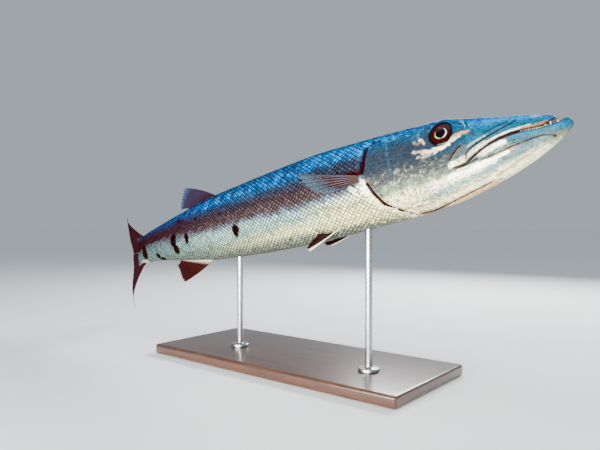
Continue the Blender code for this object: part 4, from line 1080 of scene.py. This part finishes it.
# The eyes.
# Each is a separate glass-like eye set in the socket: a black pupil with a thin
# pale ring, a dark red-brown iris, and a clear bulge over them.
EYE_Y, EYE_RISE, EYE_CURVE = 29.9, 4.4, 36
EYE_LIFT, EYE_TURN = math.radians(19), math.radians(6)
PUPIL_FORWARD, PUPIL_DOWN = 1.3, 2
eye_paint, tree, shader = new_material("painted eye")
spot = attribute(tree, "eye")
from_pupil, from_centre, turn = parts_of(tree, spot)
radius = sum_of(tree, "MULTIPLY_ADD", noise(tree, 1.1, 5, spot), 1.2, sum_of(tree, "ADD", from_pupil, -0.6))
rings = sum_of(tree, "DIVIDE", radius, 20)
iris = ramp(tree, rings, ((0, (12, 0, 1)), (0.36, (16, 1, 2)), (0.49, (48, 2, 4)), (0.60, (44, 1, 3)),
                          (0.74, (38, 1, 2)), (0.85, (18, 1, 2)), (1, (8, 3, 6))))
# The pale ring's colour changes around the pupil; its bright cyan-white arc is a painted highlight.
ring_and_highlight = ramp(tree, sum_of(tree, "MULTIPLY_ADD", turn, 0.5, 0.5),
                  ((0, (20, 2, 3)), (0.13, (40, 16, 12)), (0.24, (134, 112, 84)), (0.36, (150, 176, 96)),
                   (0.44, (104, 150, 88)), (0.52, (60, 60, 48)), (0.60, (150, 190, 180)),
                   (0.72, (190, 236, 226)), (0.84, (120, 180, 176)), (0.92, (30, 20, 20)), (1, (20, 2, 3))))
pale_ring = times(tree, between(tree, rings, 0.365, 0.395), between(tree, rings, 0.485, 0.445))
iris = blend(tree, pale_ring, iris, ring_and_highlight)
# Near black toward the eye's edge: the iris's dark margin and painted shade where the eye bends away into its socket.
iris_margin_and_shade = between(tree, from_centre, EYE_OPENING - 2.4, EYE_OPENING - 0.4)
plug(tree, shader, {"Base Color": blend(tree, iris_margin_and_shade, iris, colour(8, 4, 6)), "Roughness": 0.3,
                    "Specular IOR Level": 0, "Coat Weight": 0.25, "Coat Roughness": 0.03})


def turned(radius, height, around):
    """Rings of points about an upright axis."""
    turn = np.linspace(0, 2 * math.pi, around, endpoint=False)
    radius, height = np.array(radius)[:, None], np.array(height)[:, None]
    return np.stack(np.broadcast_arrays(radius * np.cos(turn), radius * np.sin(turn), height), -1)


def fan(ring, tip):
    """Triangles from a ring of vertex numbers to one more vertex."""
    return [(a, b, tip) for a, b in zip(ring.tolist(), np.roll(ring, -1).tolist())]


EYE_RINGS, EYE_AROUND, EYE_EDGE, EYE_BACK = 44, 80, 19.8, -4
radial = np.linspace(0, 1, EYE_RINGS + 1) * EYE_EDGE
depth = EYE_RISE - radial ** 2 / (2 * EYE_CURVE) - 0.5 * smoothstep(radial, 17, 19.4)
disc = turned(radial[1:], depth[1:], EYE_AROUND) * (1, EYE_TALLER, 1)
flat = np.vstack(((0, 0, depth[0]), disc.reshape(-1, 3), (0, 0, EYE_BACK)))
grid = np.arange(1, len(flat) - 1).reshape(EYE_RINGS, EYE_AROUND)
faces = fan(grid[0], 0) + ring_faces(grid)[:, FLIP].tolist() + fan(grid[-1][::-1], len(flat) - 1)
ahead, up = flat[:, 0] - PUPIL_FORWARD, flat[:, 1] + PUPIL_DOWN
for node, side in (("eye_right", -1), ("eye_left", 1)):
    outer = Vector((-math.sin(EYE_TURN), side * math.cos(EYE_TURN) * math.cos(EYE_LIFT), math.sin(EYE_LIFT)))
    upward = (Vector((0, 0, 1)) - outer * outer.z).normalized()
    rearward = upward.cross(outer) * side
    points = flat @ np.array((rearward, upward, outer)) + (EYE_T, side * EYE_Y, EYE_Z)
    eye = mesh_object(node + "_piece", pose(points * MM), [face[::side] for face in faces])
    store(eye, "eye", np.stack((np.hypot(ahead, up), np.hypot(flat[:, 0], flat[:, 1] / EYE_TALLER),
                                np.arctan2(ahead, -up) / math.pi), 1))
    finish_piece(eye, eye_paint, "eye", node)


# The teeth.
# Ivory daggers, two fangs at the upper jaw's front and one at the lower's, and
# smaller ones behind them; their roots are sunk in the jaws.
tooth_paint, tree, shader = new_material("ivory tooth")
ivory = ramp(tree, noise(tree, 400, 2), ((0.3, (226, 212, 176)), (0.7, (248, 242, 222))))
plug(tree, shader, {"Base Color": ivory, "Roughness": 0.22, "Subsurface Weight": 0.1,
                    "Subsurface Radius": (0.002, 0.0015, 0.001)})
# Each tooth: its place along the jaw, its height and its width.
UPPER_TEETH = ((23.5, 5.6, 2.6), (30, 4.6, 2.3), (36, 2.8, 1.8), (41, 3.4, 2), (46, 2.6, 1.8), (51, 3, 1.9),
               (56, 2.3, 1.6), (61, 1.9, 1.4))
LOWER_TEETH = ((14.5, 4.2, 2.2), (27, 2.2, 1.6), (33, 2.4, 1.7), (38.6, 2.6, 1.7), (43.6, 2.4, 1.6),
               (48.6, 2.2, 1.6), (53.6, 1.8, 1.4), (58.6, 1.5, 1.3))
TOOTH_SIDES, TOOTH_RINGS, TOOTH_ROOT, TOOTH_INSET, TOOTH_LEAN, TOOTH_FLAT = 10, 6, 2, 2.6, 0.10, 0.7
for name, teeth, lip, way in (("teeth_upper", UPPER_TEETH, UPPER_LIP, -1),
                              ("teeth_lower", LOWER_TEETH, LOWER_LIP, 1)):
    points, faces = [], []
    share = np.arange(TOOTH_RINGS) / TOOTH_RINGS
    for side in (-1, 1):
        for tooth_t, tall, wide in teeth:
            level = np.interp(tooth_t, *curved(lip).T)
            root = np.array((tooth_t, side * (flank_at(tooth_t, level) - TOOTH_INSET), level))
            rings = turned(wide / 2 * (1 - share) ** 0.75, way * (share * (tall + TOOTH_ROOT) - TOOTH_ROOT),
                           TOOTH_SIDES)
            rings = rings * (1, TOOTH_FLAT, 1) + root
            rings[..., 0] += TOOTH_LEAN * tall * share[:, None] ** 2
            grid = len(points) + np.arange(TOOTH_RINGS * TOOTH_SIDES).reshape(TOOTH_RINGS, TOOTH_SIDES)
            points += [*rings.reshape(-1, 3), root + (TOOTH_LEAN * tall, 0, way * tall)]
            faces += [*ring_faces(grid).tolist(), *fan(grid[-1], len(points) - 1), grid[0][::-1].tolist()]
    made = mesh_object(name, pose(np.array(points) * MM), [face[::way] for face in faces])
    finish_piece(made, tooth_paint, "head_skin")


# The stand.
# A varnished dark wood plate with rounded edges and two turned steel rods, each
# screwed to the plate through a small round foot.
wood, tree, shader = new_material("varnished wood")
spot = add(tree, "ShaderNodeTexCoord").outputs["Object"]
rings = noise(tree, 5, 6, stretched(tree, spot, (1.2, 14, 14)), Distortion=0.8)
pores = noise(tree, 6, 3, stretched(tree, spot, (8, 160, 160)))
shade = ramp(tree, rings, ((0.30, (52, 30, 20)), (0.50, (84, 50, 32)), (0.70, (60, 34, 22))))
plug(tree, shader, {"Base Color": blend(tree, between(tree, pores, 0.56, 0.70), shade, colour(36, 20, 14)),
                    "Roughness": sum_of(tree, "MULTIPLY_ADD", pores, 0.2, 0.22),
                    "Normal": bumps(tree, pores, 0.12, 0.0004), "Coat Weight": 0.5, "Coat Roughness": 0.15})
BASE_LENGTH, BASE_WIDTH, BASE_HEIGHT, BASE_ROUNDING = 0.56, 0.24, 0.020, 0.005
bpy.ops.mesh.primitive_cube_add(size=1, location=(0, 0, 0))
base = bpy.context.object
base.name = "stand_base_piece"
base_size = Matrix.Diagonal((BASE_LENGTH, BASE_WIDTH, BASE_HEIGHT, 1))
base.data.transform(Matrix.Translation((0, 0, BASE_HEIGHT / 2)) @ base_size)
edge = base.modifiers.new("edge", "BEVEL")
edge.width = BASE_ROUNDING
edge.segments = 8
apply_modifiers(base)
base.data.shade_smooth()
base.data.set_sharp_from_angle(angle=math.radians(40))
base.data.materials.clear()
finish_piece(base, wood, "stand_wood", "stand_base")

steel, tree, shader = new_material("brushed steel")
spot = add(tree, "ShaderNodeTexCoord").outputs["Object"]
brush = noise(tree, 1, 3, stretched(tree, spot, (60, 60, 1800)))
plug(tree, shader, {"Base Color": ramp(tree, brush, ((0.3, (150, 152, 156)), (0.7, (196, 198, 202)))),
                    "Roughness": sum_of(tree, "MULTIPLY_ADD", brush, 0.25, 0.18), "Metallic": 1})
ROD_RADIUS, ROD_SIDES, FOOT_RADIUS, FOOT_HEIGHT, GAP = 0.006, 48, 0.018, 0.006, 0.0003
FOOT_CHAMFER, FOOT_EDGE, FILLET, COLLAR, SUNK = 0.0006, 0.0015, 0.0025, 0.004, 0.004
for node, rod_t in (("stand_rod_front", 335), ("stand_rod_rear", 645)):
    under = pose(np.array(((rod_t, 0, station(rod_t, 2)),)) * MM)[0]
    foot = BASE_HEIGHT + GAP
    top = foot + FOOT_HEIGHT
    profile = [(0, foot), (FOOT_RADIUS - FOOT_CHAMFER, foot), (FOOT_RADIUS, foot + FOOT_CHAMFER)]
    for turn in np.linspace(0, math.pi / 2, 5):
        profile.append((FOOT_RADIUS - FOOT_EDGE * (1 - math.cos(turn)),
                        top - FOOT_EDGE * (1 - math.sin(turn))))
    for turn in np.linspace(0, math.pi / 2, 6):
        profile.append((ROD_RADIUS + FILLET * (1 - math.sin(turn)), top + FILLET * (1 - math.cos(turn))))
    profile += [(ROD_RADIUS, top + COLLAR), (ROD_RADIUS, under[2] + SUNK), (0, under[2] + SUNK)]
    points = turned(*np.array(profile).T, ROD_SIDES) + (under[0], under[1], 0)
    grid = np.arange(len(profile) * ROD_SIDES).reshape(-1, ROD_SIDES)
    rod = mesh_object(node + "_piece", points.reshape(-1, 3), ring_faces(grid))
    weld = rod.modifiers.new("weld", "WELD")
    weld.merge_threshold = 0.00001
    apply_modifiers(rod)
    rod.data.shade_smooth()
    rod.data.set_sharp_from_angle(angle=math.radians(35))
    finish_piece(rod, steel, "stand_steel", node)


# The floor, the lights and the camera.
bpy.ops.mesh.primitive_plane_add(size=60, location=(0, 0, 0))
floor = bpy.context.object
floor.name = "studio_floor"
floor_paint, tree, shader = new_material("pale floor")
plug(tree, shader, {"Base Color": colour(252, 252, 252), "Roughness": 1, "Specular IOR Level": 0})
floor.data.materials.append(floor_paint)

world = bpy.data.worlds.new("studio")
world.use_nodes = True
plug(world.node_tree, world.node_tree.nodes["Background"], {0: colour(214, 224, 234), 1: 0.6})
bpy.context.scene.world = world


def area_light(name, place, aim, size, power, shade):
    lamp = bpy.data.lights.new(name, "AREA")
    lamp.shape = "RECTANGLE"
    lamp.size, lamp.size_y = size
    lamp.energy = power
    lamp.color = shade
    made = bpy.data.objects.new(name, lamp)
    made.location = place
    made.visible_camera = False
    made.rotation_euler = (Vector(aim) - Vector(place)).to_track_quat("-Z", "Y").to_euler()
    bpy.context.scene.collection.objects.link(made)


area_light("key", (0.24, -1.33, 0.12), (0.12, 0, 0.29), (1.4, 0.45), 88, (1, 0.98, 0.94))
area_light("far side", (-0.1, 1.6, 1.2), (0, 0, 0.28), (1.6, 0.5), 62, (1, 1, 1))
area_light("top", (0.1, -0.35, 1.9), (0, 0, 0.3), (1.6, 0.9), 12, (0.60, 0.84, 1))

camera = bpy.data.objects.new("camera", bpy.data.cameras.new("camera"))
camera.data.sensor_width = 36
camera.data.lens = 33.21
camera.location = Vector(JAW_TIP) + Vector((0.1837, -0.7962, -0.1375))
camera.rotation_euler = (math.radians(90), 0, math.radians(39.14))
camera.data.clip_start = 0.01
bpy.context.scene.collection.objects.link(camera)
bpy.context.scene.camera = camera
